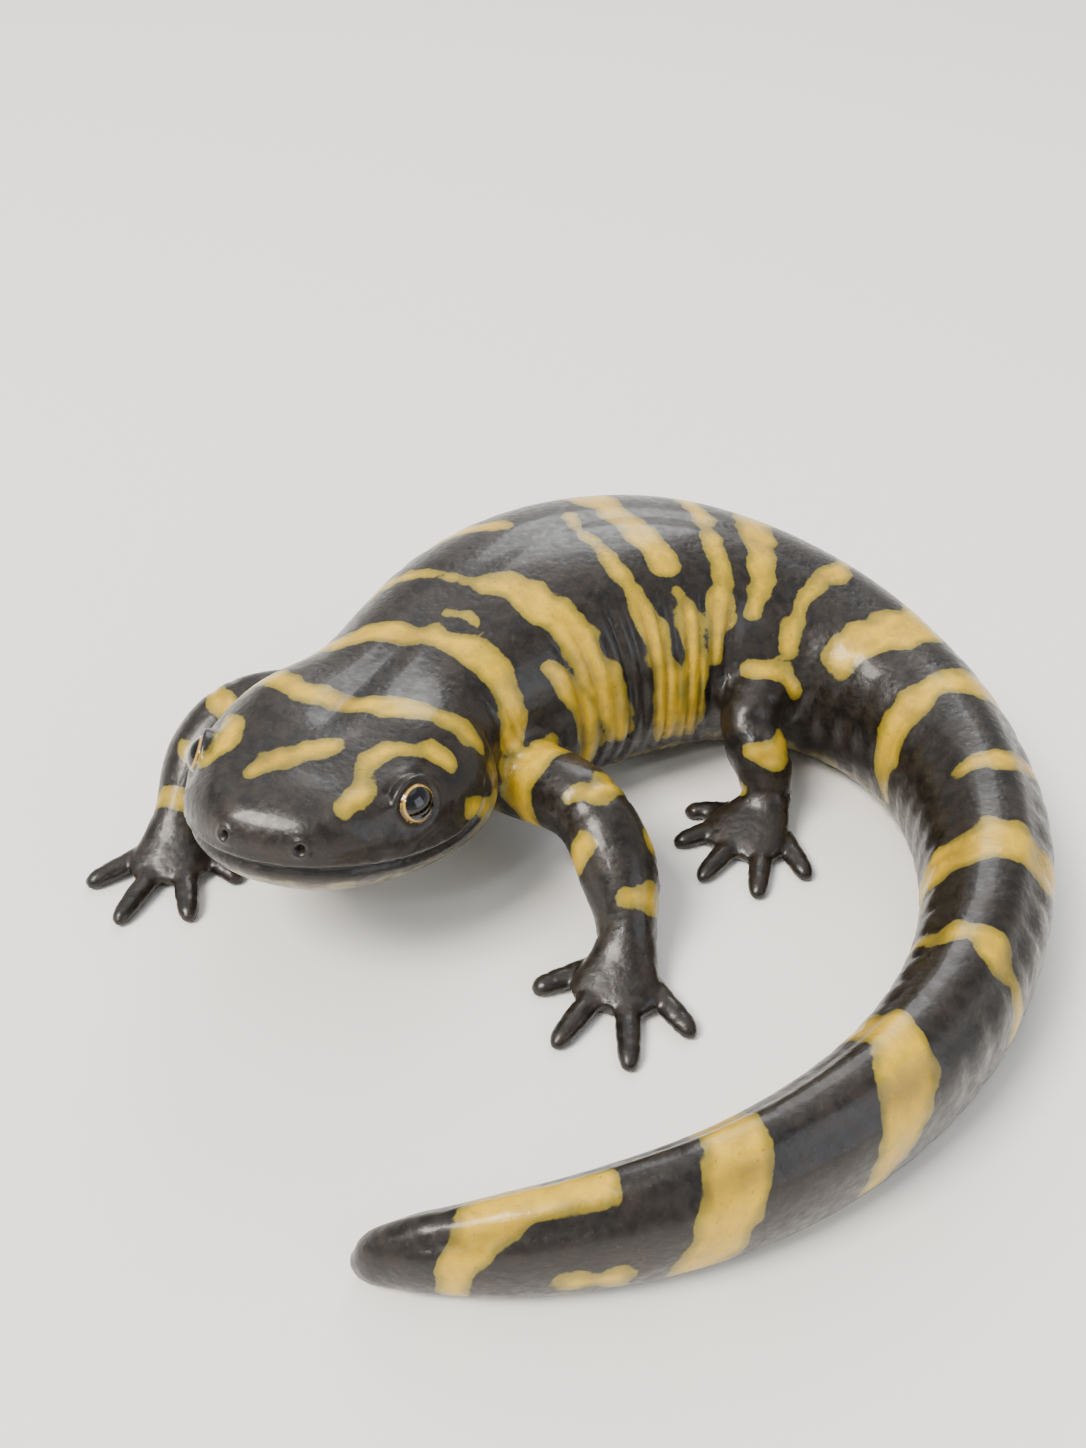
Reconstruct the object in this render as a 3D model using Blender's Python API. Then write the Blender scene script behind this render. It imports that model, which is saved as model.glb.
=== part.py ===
"""Tiger salamander, life size, resting alert with its tail curled round to the front.

Head, neck, trunk and tail follow one spine.  It is given in plan by its compass heading along
the body, and stations along it are measured from the snout.  Each limb follows a short path of
its own, from inside the trunk to the wrist or ankle, and its digits fan out from there.  All
sizes are in millimetres.  The origin is on the floor, in the middle of the animal's box, with
+Z up.
"""
import math

import bmesh
import bpy
import numpy as np
from mathutils import Matrix, Vector

MM = 0.001

# ------------------------------------------------------------ driving dimensions
SNOUT_TO_VENT = 118.0
TAIL_LENGTH = 127.2
TOTAL_LENGTH = SNOUT_TO_VENT + TAIL_LENGTH
HEAD_LENGTH = 31.5
GAP = 0.3                        # clearance between nodes that meet face to face

# Plan of the spine: where the snout is, and the heading of the line that runs from it.
SNOUT = (-32.442, -25.964)
HEADINGS = ((0, 76), (15, 70), (32, 61), (45, 53), (60, 38), (78, 12), (98, -25),
            (118, -61), (140, -91), (165, -116), (190, -141), (215, -164), (242, -187))
HEADING_BLEND = 10.0             # headings are averaged over this far each way
HEADING_SAMPLES = 21

# Station, half width, height above the axis, depth below it, height of the axis.
BODY_PROFILE = (
    (0.0, 0.0, 0.0, 0.0, 20.6),
    (0.3, 3.1, 1.9, 2.0, 20.6),
    (1.2, 6.2, 3.7, 3.9, 20.5),
    (3.0, 9.5, 5.3, 5.7, 20.3),
    (6.0, 12.7, 6.6, 7.3, 19.9),
    (9.5, 15.0, 7.6, 8.4, 19.4),
    (14.0, 16.7, 8.6, 9.6, 18.7),
    (19.0, 17.8, 9.6, 10.5, 18.0),
    (23.0, 18.0, 10.4, 10.9, 17.5),
    (27.0, 17.2, 11.0, 10.9, 17.0),
    (31.5, 15.5, 11.8, 11.0, 16.5),
    (36.0, 15.3, 12.8, 12.1, 16.1),
    (42.0, 16.7, 14.4, 13.8, 15.8),
    (50.0, 18.8, 16.6, 15.7, 15.6),
    (60.0, 20.4, 18.0, 16.3, 15.6),
    (72.0, 20.6, 18.1, 16.3, 15.5),
    (84.0, 19.1, 16.8, 15.8, 15.1),
    (93.0, 16.6, 15.1, 15.1, 14.4),
    (101.0, 14.4, 13.4, 14.2, 13.6),
    (110.0, 12.0, 12.1, 12.9, 12.4),
    (118.0, 10.2, 11.2, 11.9, 11.4),
    (130.0, 8.8, 10.4, 11.0, 10.5),
    (150.0, 7.7, 9.5, 9.9, 9.4),
    (170.0, 6.7, 8.9, 8.9, 8.4),
    (190.0, 5.8, 8.3, 8.1, 7.7),
    (208.0, 5.1, 7.8, 7.2, 6.8),
    (222.0, 4.4, 7.0, 6.4, 6.0),
    (234.0, 3.5, 5.6, 5.0, 4.6),
    (241.2, 2.4, 3.9, 3.6, 3.2),
    (244.3, 1.3, 2.0, 2.1, 2.1),
    (245.2, 0.0, 0.0, 0.0, 1.6),
)
SQUARENESS = 2.3                 # of a section; 2 would be an ellipse

# The body is parted at these stations: node, first station, last station, ring spacing, sides.
BODY_NODES = (
    ("head", 0.0, HEAD_LENGTH, 1.6, 44),
    ("neck", HEAD_LENGTH, 36.0, 1.5, 36),
    ("torso_front", 36.0, 61.5, 1.9, 36),
    ("torso_rear", 61.5, 91.9, 1.9, 36),
    ("pelvis", 91.9, 112.0, 2.9, 36),
    ("tail_base", 112.0, 142.0, 3.4, 28),
    ("tail_middle", 142.0, 176.0, 3.8, 24),
    ("tail_rear", 176.0, 210.0, 4.2, 22),
    ("tail_tip", 210.0, TOTAL_LENGTH, 3.0, 20),
)
SNOUT_RINGS = (0.12, 0.45, 1.0, 1.9, 3.1, 4.6, 6.3)
TAIL_LAST_RING = 242.8           # the evenly spread rings end here
TAIL_TIP_RINGS = (244.4, 245.0)
TRUNK_CUTTER = (20.0, 130.0, 1.9, 36)    # first and last station, ring spacing, sides
GULAR_STEP = 0.8                 # the throat fold stands this far proud of the neck

# Costal grooves run down each flank between the limbs.
FIRST_GROOVE = 50.1
GROOVE_SPACING = 3.8
GROOVE_COUNT = 12
GROOVE_DEPTH = 0.6
GROOVE_MIDDLE = 0.05             # rise of the middle of a groove; the back is at 1
GROOVE_FADE = 0.55               # a groove ends where the cube of its rise from there is this

# Head features as forwards-from-the-snout station, distance out, height above the axis.
EYE_PLACE = (12.6, 12.5, 3.8)
EYE_RADIUS = 2.9
EYE_GAZE = (0.40, 0.80, 0.44)    # forwards, outwards, up
LID_THICKNESS = 0.55
EYE_OPENING = (2.7, 2.35)        # half length and half height of the opening between the lids
OPENING_START = 0.6              # the bar that cuts the opening starts this far from the eye's centre
OPENING_BAR = 6.0
OPENING_FLARE = 1.12             # the bar's outer end against its inner one
LID_MESH = (30, 18)              # segments and rings of the lids and sockets
NOSTRIL_PLACE = (1.3, 4.4, 2.3)
NOSTRIL_RADIUS = 0.55
MOUTH_LINE = ((0.0, -0.6), (6.0, -1.5), (12.0, -2.1), (17.0, -1.8), (20.5, -0.6), (22.5, 0.8))
MOUTH_FRONT = 0.25               # the line's points start this far behind the snout
MOUTH_CORNER = 21.8
MOUTH_STEPS = 17                 # points of the line on each side
MOUTH_FIRST = 0.35               # the first point is this share of a step from the midline
MOUTH_SPREAD = 0.9               # below 1 moves the points away from the snout
MOUTH_SLIT = 0.45                # height of the slit between the lips
MOUTH_DEPTH = 0.9
MOUTH_END_DEPTH = 0.35           # share of that depth at the corner of the mouth
MOUTH_END_SLOPE = 0.3            # and the share gained at each point from there
CUTTER_REACH = 2.0               # the plate that cuts the slit stands this far out of the skin

# Limbs: node prefix, girdle station, side (+1 left, -1 right), then the joints of the limb as
# forwards, outwards and height from the spine's foot at that station, and the heading of the
# hand or foot in degrees outwards from forwards.
LIMBS = (
    ("left_front", 38.5, 1, ((0.0, 7.0, 10.8), (0.0, 14.2, 11.5), (3.0, 27.9, 12.9),
                             (12.0, 38.3, 3.9)), 18.0),
    ("right_front", 38.5, -1, ((0.0, 7.0, 11.0), (2.0, 13.8, 11.8), (11.0, 23.4, 12.8),
                               (25.2, 22.4, 3.9)), -30.0),
    ("left_hind", 100.0, 1, ((0.0, 5.5, 11.3), (-0.6, 12.4, 12.9), (-1.2, 20.0, 13.5),
                             (-6.0, 23.8, 4.3)), 84.0),
    ("right_hind", 100.0, -1, ((0.0, 5.5, 10.0), (0.5, 12.2, 10.2), (2.0, 19.6, 9.8),
                               (-4.0, 24.8, 4.3)), 62.0),
)
# Palm or sole: two more points of the limb's axis, ahead of the wrist or ankle, and height.
PALM = {"front": ((5.0, 1.9), (8.6, 1.1)), "hind": ((5.6, 2.0), (9.8, 1.1))}
# Half width and half height of a limb at all those points and half way between them.
LIMB_GIRTH = {
    "front": ((4.9, 5.2), (5.1, 5.4), (5.2, 5.6), (5.1, 5.3), (4.9, 4.8), (5.0, 4.8),
              (3.7, 3.3), (4.4, 2.5), (5.3, 2.0), (5.0, 1.5), (3.2, 0.8)),
    "hind": ((5.0, 5.4), (5.2, 5.6), (5.2, 5.5), (4.8, 4.7), (4.0, 3.7), (4.3, 4.1),
             (3.5, 3.2), (4.6, 2.4), (5.8, 2.0), (5.5, 1.5), (3.5, 0.8)),
}
LIMB_SEGMENTS = {"front": ("upper_arm", "forearm", "hand"), "hind": ("thigh", "shank", "foot")}
LIMB_SIDES = 16
LIMB_RING_SPACING = 2.2
PALM_RING_SPACING = 1.6
LIMB_TURN = 4.2                  # sections turn gently, over this far each way along a limb

# Digits from the inner to the outer: degrees outwards from the hand's heading, and reach
# from the wrist or ankle to the tip.
DIGITS = {
    "front": ((-54.0, 12.0), (-19.0, 15.5), (14.0, 16.2), (48.0, 13.5)),
    "hind": ((-62.0, 10.8), (-32.0, 13.9), (-4.0, 16.2), (24.0, 16.3), (53.0, 13.2)),
}
DIGIT_ROOT = 3.6                 # digits start this far from the wrist, inside the palm
# Share of a digit's length, half width, half height, height of its axis.
DIGIT_PROFILE = ((0.0, 1.6, 1.1, 1.5), (0.3, 1.65, 1.2, 1.4), (0.55, 1.5, 1.2, 1.25),
                 (0.78, 1.25, 1.05, 0.95), (0.93, 0.85, 0.72, 0.65), (1.0, 0.0, 0.0, 0.5))
DIGIT_SIDES = 8
DIGIT_RINGS = (0.0, 0.25, 0.5, 0.68, 0.84, 0.95)


# ------------------------------------------------------------ curves and sections
def hermite(table, place):
    """Smooth curve through a table's rows; the first column is the place along it."""
    rows = np.array(table, dtype=float)
    places = rows[:, 0]
    values = rows[:, 1:]
    slopes = np.gradient(values, places, axis=0)
    index = int(np.clip(np.searchsorted(places, place, side="right") - 1, 0, len(places) - 2))
    span = places[index + 1] - places[index]
    t = (place - places[index]) / span
    return ((2 * t**3 - 3 * t**2 + 1) * values[index] + (t**3 - 2 * t**2 + t) * span * slopes[index]
            + (3 * t**2 - 2 * t**3) * values[index + 1] + (t**3 - t**2) * span * slopes[index + 1])


def heading(station):
    """Heading in radians, averaged so that the spine has no corners."""
    spread = np.linspace(-HEADING_BLEND, HEADING_BLEND, HEADING_SAMPLES) + station
    stations, degrees = zip(*HEADINGS)
    return math.radians(float(np.mean(np.interp(spread, stations, degrees))))


SPINE_STEP = 0.5
SPINE_STATIONS = np.arange(0.0, TOTAL_LENGTH + SPINE_STEP, SPINE_STEP)


def walk_spine():
    """Plan position of each spine station, stepped along the heading from the snout."""
    middles = [heading(station + SPINE_STEP / 2) for station in SPINE_STATIONS[:-1]]
    x = SNOUT[0] + np.concatenate(([0.0], np.cumsum(np.cos(middles)) * SPINE_STEP))
    y = SNOUT[1] + np.concatenate(([0.0], np.cumsum(np.sin(middles)) * SPINE_STEP))
    return x, y


SPINE_X, SPINE_Y = walk_spine()
# The profile is smoothed over the root of the station, so that the snout comes out round.
ROOTED_PROFILE = [(math.sqrt(row[0]),) + tuple(row[1:]) for row in BODY_PROFILE]


def body_frame(station):
    """Foot of the spine on the floor, and the forward and left directions there."""
    foot = Vector((np.interp(station, SPINE_STATIONS, SPINE_X),
                   np.interp(station, SPINE_STATIONS, SPINE_Y), 0.0))
    angle = heading(station)
    forward = Vector((-math.cos(angle), -math.sin(angle), 0.0))
    left = Vector((math.sin(angle), -math.cos(angle), 0.0))
    return foot, forward, left


def place_on_body(station, out, height, side):
    """A point beside the spine's axis, out to one side of it and up from it."""
    foot, _, left = body_frame(station)
    axis = hermite(ROOTED_PROFILE, math.sqrt(station))[3]
    return foot + left * side * out + Vector((0.0, 0.0, axis + height))


def rounded(value):
    """One coordinate of a superellipse from the cosine or sine of its angle."""
    return math.copysign(abs(value) ** (2.0 / SQUARENESS), value)


def groove_inset(station, rise):
    """How far a costal groove draws the flank in; rise is -1 at the belly and 1 at the back."""
    number = round((station - FIRST_GROOVE) / GROOVE_SPACING)
    if not 0 <= number < GROOVE_COUNT:
        return 0.0
    phase = (station - FIRST_GROOVE - number * GROOVE_SPACING) / GROOVE_SPACING
    on_flank = max(0.0, 1.0 - abs(rise - GROOVE_MIDDLE) ** 3 / GROOVE_FADE)
    return GROOVE_DEPTH * on_flank * max(0.0, math.cos(phase * 2.0 * math.pi))


def body_ring(station, sides, grow=0.0):
    """Section of the body at a station, flattened where it would pass the floor."""
    foot, _, left = body_frame(station)
    width, top, bottom, axis = hermite(ROOTED_PROFILE, math.sqrt(station))
    ring = []
    for number in range(sides):
        angle = 2.0 * math.pi * number / sides
        across = rounded(math.cos(angle))
        rise = rounded(math.sin(angle))
        inset = groove_inset(station, rise)
        reach = max(width + grow - inset, 0.01)
        lift = (top if rise > 0.0 else bottom) + grow
        height = max(axis + lift * rise, -grow)
        ring.append(foot + left * across * reach + Vector((0.0, 0.0, height)))
    return ring


def spread_stations(first, last, spacing):
    """Evenly spread stations from first to last, both included."""
    count = max(1, round((last - first) / spacing))
    return [first + (last - first) * number / count for number in range(count + 1)]


# ------------------------------------------------------------ mesh helpers
def scaled(point):
    return Vector(point) * MM


def loft(rings, start_tip=None, end_tip=None):
    """Extrude a ring of points from section to section and close both ends."""
    bm = bmesh.new()
    made = bmesh.ops.create_circle(bm, cap_ends=True, segments=len(rings[0]), radius=1.0)
    verts = made["verts"]
    for vert, point in zip(verts, rings[0]):
        vert.co = scaled(point)
    start_cap = bm.faces[:]
    edges = bm.edges[:]
    for ring in rings[1:]:
        extruded = bmesh.ops.extrude_edge_only(bm, edges=edges)["geom"]
        edges = [item for item in extruded if isinstance(item, bmesh.types.BMEdge)]
        fresh = {item for item in extruded if isinstance(item, bmesh.types.BMVert)}
        verts = [next(edge.other_vert(vert) for edge in vert.link_edges
                      if edge.other_vert(vert) in fresh) for vert in verts]
        for vert, point in zip(verts, ring):
            vert.co = scaled(point)
    end_cap = bmesh.ops.contextual_create(bm, geom=edges)["faces"]
    for cap, tip in ((start_cap, start_tip), (end_cap, end_tip)):
        if tip is not None:
            centre = bmesh.ops.poke(bm, faces=cap)["verts"][0]
            centre.co = scaled(tip)
    bmesh.ops.triangulate(bm, faces=[face for face in bm.faces if len(face.verts) > 4])
    bmesh.ops.recalc_face_normals(bm, faces=bm.faces)
    return bm


def make_object(name, bm):
    """Turn a bmesh into a scene object."""
    mesh = bpy.data.meshes.new(name)
    bm.to_mesh(mesh)
    bm.free()
    obj = bpy.data.objects.new(name, mesh)
    bpy.context.scene.collection.objects.link(obj)
    return obj


def ball(name, centre, radius, segments, rings):
    """A sphere, as an object."""
    bm = bmesh.new()
    bmesh.ops.create_uvsphere(bm, u_segments=segments, v_segments=rings, radius=radius * MM,
                              matrix=Matrix.Translation(scaled(centre)))
    return make_object(name, bm)


def keep_largest(obj):
    """Delete all but the largest connected surface, such as a sealed hollow or a scrap."""
    bm = bmesh.new()
    bm.from_mesh(obj.data)
    unseen = set(bm.verts)
    islands = []
    while unseen:
        seed = unseen.pop()
        island = {seed}
        front = [seed]
        while front:
            vert = front.pop()
            for edge in vert.link_edges:
                other = edge.other_vert(vert)
                if other in unseen:
                    unseen.discard(other)
                    island.add(other)
                    front.append(other)
        islands.append(island)
    islands.sort(key=len, reverse=True)
    scraps = [vert for island in islands[1:] for vert in island]
    bmesh.ops.delete(bm, geom=scraps, context="VERTS")
    bm.to_mesh(obj.data)
    bm.free()


def boolean(obj, operation, tools):
    """Join closed objects to one, or cut them from it, and remove them."""
    holder = bpy.data.collections.new("boolean_tools")
    for tool in tools:
        bpy.context.scene.collection.objects.unlink(tool)
        holder.objects.link(tool)
    bpy.context.scene.collection.children.link(holder)
    modifier = obj.modifiers.new(operation.lower(), "BOOLEAN")
    modifier.operation = operation
    modifier.operand_type = "COLLECTION"
    modifier.collection = holder
    modifier.solver = "EXACT"
    evaluated = obj.evaluated_get(bpy.context.evaluated_depsgraph_get())
    mesh = bpy.data.meshes.new_from_object(evaluated)
    obj.modifiers.clear()
    plain = obj.data
    obj.data = mesh
    bpy.data.meshes.remove(plain)
    mesh.name = obj.name
    for tool in tools:
        bpy.data.objects.remove(tool)
    bpy.data.collections.remove(holder)
    keep_largest(obj)


def finish(obj, colour, roughness):
    """Give a node its material and shade it smooth."""
    material = bpy.data.materials.new(obj.name + "_finish")
    material.use_nodes = True
    shader = material.node_tree.nodes["Principled BSDF"]
    shader.inputs["Base Color"].default_value = (*colour, 1.0)
    shader.inputs["Roughness"].default_value = roughness
    shader.inputs["Metallic"].default_value = 0.0
    obj.data.materials.clear()
    obj.data.materials.append(material)
    obj.data.shade_smooth()
    return obj


SKIN_DARK = (0.035, 0.030, 0.022)
EYE_DARK = (0.012, 0.010, 0.008)
SKIN_ROUGHNESS = 0.38
EYE_ROUGHNESS = 0.06


# ------------------------------------------------------------ body
def body_cutter():
    """The trunk grown by the clearance, which trims the roots of the limbs."""
    first, last, spacing, sides = TRUNK_CUTTER
    rings = [body_ring(station, sides, GAP) for station in spread_stations(first, last, spacing)]
    return make_object("body_cutter", loft(rings))


def body_node(name, first, last, spacing, sides):
    """One length of the body, with half the clearance left off each cut end."""
    start = first + (GAP / 2 if first > 0.0 else 0.0)
    end = last - (GAP / 2 if last < TOTAL_LENGTH else 0.0)
    stations = spread_stations(start, end, spacing)
    start_tip = None
    end_tip = None
    if first == 0.0:
        stations = list(SNOUT_RINGS) + spread_stations(SNOUT_RINGS[-1], end, spacing)[1:]
        start_tip = place_on_body(0.0, 0.0, 0.0, 1)
    if last == TOTAL_LENGTH:
        stations = spread_stations(start, TAIL_LAST_RING, spacing) + list(TAIL_TIP_RINGS)
        end_tip = place_on_body(TOTAL_LENGTH, 0.0, 0.0, 1)
    rings = [body_ring(station, sides) for station in stations]
    return make_object(name, loft(rings, start_tip, end_tip))


def neck():
    """The neck, drawn in a little behind the throat fold."""
    name, first, last, spacing, sides = BODY_NODES[1]
    stations = spread_stations(first + GAP / 2, last - GAP / 2, spacing)
    rings = []
    for station in stations:
        share = (last - station) / (last - first)
        rings.append(body_ring(station, sides, -GULAR_STEP * max(0.0, share) ** 2))
    return make_object(name, loft(rings))


# ------------------------------------------------------------ head
def eye_centre(side):
    return place_on_body(*EYE_PLACE, side)


def gaze_matrix(side):
    """Turns local X along the opening, Y across it and Z along the gaze, at the eye."""
    _, forward, left = body_frame(EYE_PLACE[0])
    gaze = forward * EYE_GAZE[0] + left * side * EYE_GAZE[1] + Vector((0.0, 0.0, EYE_GAZE[2]))
    gaze.normalize()
    along = forward - gaze * forward.dot(gaze)
    along.normalize()
    across = gaze.cross(along)
    turn = Matrix((along, across, gaze)).transposed().to_4x4()
    return Matrix.Translation(scaled(eye_centre(side))) @ turn


def eye_opening(side):
    """An oval bar along the gaze, which opens the lids in front of the eyeball."""
    bm = bmesh.new()
    bmesh.ops.create_cone(bm, cap_ends=True, segments=24, radius1=1.0, radius2=OPENING_FLARE,
                          depth=1.0)
    stretch = Matrix.Diagonal((EYE_OPENING[0] * MM, EYE_OPENING[1] * MM, OPENING_BAR * MM, 1.0))
    start = Matrix.Translation((0.0, 0.0, (OPENING_START + OPENING_BAR / 2) * MM))
    bmesh.ops.transform(bm, matrix=gaze_matrix(side) @ start @ stretch, verts=bm.verts)
    return make_object("eye_opening", bm)


def mouth_half_width(station, height):
    """Distance from the midline to the skin at a height on the head."""
    width, top, bottom, _ = hermite(ROOTED_PROFILE, math.sqrt(station))
    lift = top if height > 0.0 else bottom
    share = min(1.0, abs(height) / max(lift, 0.01))
    return width * (1.0 - share ** SQUARENESS) ** (1.0 / SQUARENESS)


def mouth_points():
    """The line of the mouth, from the right corner round the snout to the left one."""
    half = []
    for step in range(MOUTH_STEPS):
        share = (step + MOUTH_FIRST) / (MOUTH_STEPS - 1 + MOUTH_FIRST)
        travel = (1.0 - math.cos(share * math.pi / 2)) ** MOUTH_SPREAD
        station = MOUTH_FRONT + (MOUTH_CORNER - MOUTH_FRONT) * travel
        height = float(hermite(MOUTH_LINE, station)[0])
        half.append((station, mouth_half_width(station, height), height))
    right = [place_on_body(station, out, height, -1) for station, out, height in reversed(half)]
    left = [place_on_body(station, out, height, 1) for station, out, height in half]
    return right + left


def mouth_cutter():
    """A thin plate on edge round the jaw, which leaves the slit between the lips."""
    points = mouth_points()
    up = Vector((0.0, 0.0, MOUTH_SLIT / 2))
    rings = []
    for number, point in enumerate(points):
        before = points[max(number - 1, 0)]
        after = points[min(number + 1, len(points) - 1)]
        along = after - before
        outward = Vector((along.y, -along.x, 0.0)).normalized()
        from_end = min(number, len(points) - 1 - number)
        depth = MOUTH_DEPTH * min(1.0, MOUTH_END_DEPTH + MOUTH_END_SLOPE * from_end)
        inner = point - outward * depth
        outer = point + outward * CUTTER_REACH
        rings.append([inner - up, outer - up, outer + up, inner + up])
    return make_object("mouth_cutter", loft(rings))


def head():
    """The head with lids, eye sockets, nostrils and the line of the mouth."""
    obj = body_node(*BODY_NODES[0])
    lid_radius = EYE_RADIUS + GAP + LID_THICKNESS
    sides = (1, -1)
    boolean(obj, "UNION", [ball("lid", eye_centre(side), lid_radius, *LID_MESH) for side in sides])
    cutters = [ball("socket", eye_centre(side), EYE_RADIUS + GAP, *LID_MESH) for side in sides]
    cutters += [ball("nostril", place_on_body(*NOSTRIL_PLACE, side), NOSTRIL_RADIUS, 10, 7)
                for side in sides]
    cutters += [eye_opening(side) for side in sides]
    boolean(obj, "DIFFERENCE", cutters)
    boolean(obj, "DIFFERENCE", [mouth_cutter()])
    return obj


def eye(name, side):
    return finish(ball(name, eye_centre(side), EYE_RADIUS, 22, 12), EYE_DARK, EYE_ROUGHNESS)


# ------------------------------------------------------------ limbs
def limb_frame(station, side):
    foot, forward, left = body_frame(station)
    return foot, forward, left * side


def hand_axes(forward, out, turn):
    """Directions along and across a hand that is turned outwards from forwards."""
    angle = math.radians(turn)
    pointing = forward * math.cos(angle) + out * math.sin(angle)
    across = out * math.cos(angle) - forward * math.sin(angle)
    return pointing, across


def limb_path(kind, station, side, joints, turn):
    """Path length against position, through the joints and on along the palm or sole."""
    foot, forward, out = limb_frame(station, side)
    points = [foot + forward * ahead + out * away + Vector((0.0, 0.0, height))
              for ahead, away, height in joints]
    pointing, _ = hand_axes(forward, out, turn)
    wrist = points[-1]
    for reach, height in PALM[kind]:
        point = wrist + pointing * reach
        point.z = height
        points.append(point)
    places = [0.0]
    for before, after in zip(points, points[1:]):
        places.append(places[-1] + (after - before).length)
    return [(place, *point) for place, point in zip(places, points)]


def limb_ring(path, girth, place):
    """Section of a limb across its own direction."""
    last = path[-1][0]
    centre = Vector(hermite(path, place))
    behind = Vector(hermite(path, max(0.0, place - LIMB_TURN)))
    ahead = Vector(hermite(path, min(last, place + LIMB_TURN)))
    along = (ahead - behind).normalized()
    side = along.cross(Vector((0.0, 0.0, 1.0))).normalized()
    up = side.cross(along)
    width, height = hermite(girth, place)
    ring = []
    for number in range(LIMB_SIDES):
        angle = 2.0 * math.pi * number / LIMB_SIDES
        point = centre + side * width * math.cos(angle)
        point += up * height * math.sin(angle)
        point.z = max(point.z, 0.0)
        ring.append(point)
    return ring


def limb_girth(kind, path):
    """Girths at the joints and half way between them, against path length."""
    places = [row[0] for row in path]
    spread = [places[0]]
    for before, after in zip(places, places[1:]):
        spread += [(before + after) / 2, after]
    return [(place, *girth) for place, girth in zip(spread, LIMB_GIRTH[kind])]


def limb_length(name, path, girth, first, last, spacing):
    """One segment of a limb."""
    stations = spread_stations(first, last, spacing)
    return make_object(name, loft([limb_ring(path, girth, place) for place in stations]))


def flat_ring(centre, out, width, height, sides):
    """A level oval section of the palm or of a digit, flattened on the floor."""
    ring = []
    for number in range(sides):
        angle = 2.0 * math.pi * number / sides
        point = centre + out * width * math.cos(angle)
        point.z = max(centre.z + height * math.sin(angle), 0.0)
        ring.append(point)
    return ring


def digit(root, direction, length):
    """A tapering digit with a slightly raised middle and a rounded tip."""
    out = Vector((direction.y, -direction.x, 0.0))
    rings = []
    for share in DIGIT_RINGS:
        width, height, rise = hermite(DIGIT_PROFILE, share)
        centre = root + direction * length * share + Vector((0.0, 0.0, rise))
        rings.append(flat_ring(centre, out, width, height, DIGIT_SIDES))
    tip = root + direction * length + Vector((0.0, 0.0, DIGIT_PROFILE[-1][3]))
    return make_object("digit", loft(rings, end_tip=tip))


def hand(name, kind, path, girth, pointing, across):
    """Palm and digits, joined to one body whose sole lies on the floor."""
    wrist = path[3]
    start = wrist[0] + GAP / 2
    palm = limb_length(name, path, girth, start, path[-1][0], PALM_RING_SPACING)
    floor_wrist = Vector((wrist[1], wrist[2], 0.0))
    digits = []
    for fan, reach in DIGITS[kind]:
        lean = math.radians(fan)
        direction = pointing * math.cos(lean) + across * math.sin(lean)
        root = floor_wrist + direction * DIGIT_ROOT
        digits.append(digit(root, direction, reach - DIGIT_ROOT))
    boolean(palm, "UNION", digits)
    return palm


def limb(prefix, station, side, joints, turn):
    """A whole limb: its two lengths, trimmed clear of the trunk, and its hand or foot."""
    kind = prefix.split("_")[1]
    path = limb_path(kind, station, side, joints, turn)
    girth = limb_girth(kind, path)
    elbow = path[2][0]
    wrist = path[3][0]
    names = [prefix + "_" + segment for segment in LIMB_SEGMENTS[kind]]
    upper = limb_length(names[0], path, girth, 0.0, elbow - GAP / 2, LIMB_RING_SPACING)
    boolean(upper, "DIFFERENCE", [body_cutter()])
    lower = limb_length(names[1], path, girth, elbow + GAP / 2, wrist - GAP / 2,
                        LIMB_RING_SPACING)
    _, forward, out = limb_frame(station, side)
    end = hand(names[2], kind, path, girth, *hand_axes(forward, out, turn))
    return upper, lower, end


# ------------------------------------------------------------ build
def build():
    for old in list(bpy.data.objects):
        bpy.data.objects.remove(old)
    skins = [head(), neck()]
    skins += [body_node(*row) for row in BODY_NODES[2:]]
    for row in LIMBS:
        skins += limb(*row)
    for obj in skins:
        finish(obj, SKIN_DARK, SKIN_ROUGHNESS)
    eye("eye_left", 1)
    eye("eye_right", -1)


build()
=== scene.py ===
"""Looks of the tiger salamander: one sculpted skin over head, body and limbs, and two eyes.

The skin's first form is a set of tubes along the spine, limbs and digits, joined by a voxel
remesh, then made finer on the head, flanks, hands and feet and sculpted there.  The modelling is
done in millimetres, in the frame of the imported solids, and each finished mesh is turned to metres.
Stations are measured along the spine from the snout, degrees round the body from the middle of
the back, and left is the animal's own left.
"""
import math

import bmesh
import bpy
import numpy as np
from mathutils import Matrix, Vector
from mathutils.bvhtree import BVHTree


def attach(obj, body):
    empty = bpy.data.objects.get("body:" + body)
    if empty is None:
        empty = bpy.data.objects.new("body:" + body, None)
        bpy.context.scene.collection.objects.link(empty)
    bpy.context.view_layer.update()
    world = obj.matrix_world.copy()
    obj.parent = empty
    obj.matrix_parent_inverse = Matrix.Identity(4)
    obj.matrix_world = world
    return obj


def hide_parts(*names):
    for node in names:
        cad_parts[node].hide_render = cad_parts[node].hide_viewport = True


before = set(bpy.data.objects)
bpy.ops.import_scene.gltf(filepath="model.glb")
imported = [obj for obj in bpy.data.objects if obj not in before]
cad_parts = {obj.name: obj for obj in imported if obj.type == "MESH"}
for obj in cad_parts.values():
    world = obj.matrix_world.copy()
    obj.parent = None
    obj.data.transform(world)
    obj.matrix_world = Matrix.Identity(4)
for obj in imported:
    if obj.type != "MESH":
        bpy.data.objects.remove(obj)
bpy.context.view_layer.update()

MM = 0.001
SIDES = (1, -1)                  # the animal's left and right

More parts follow.
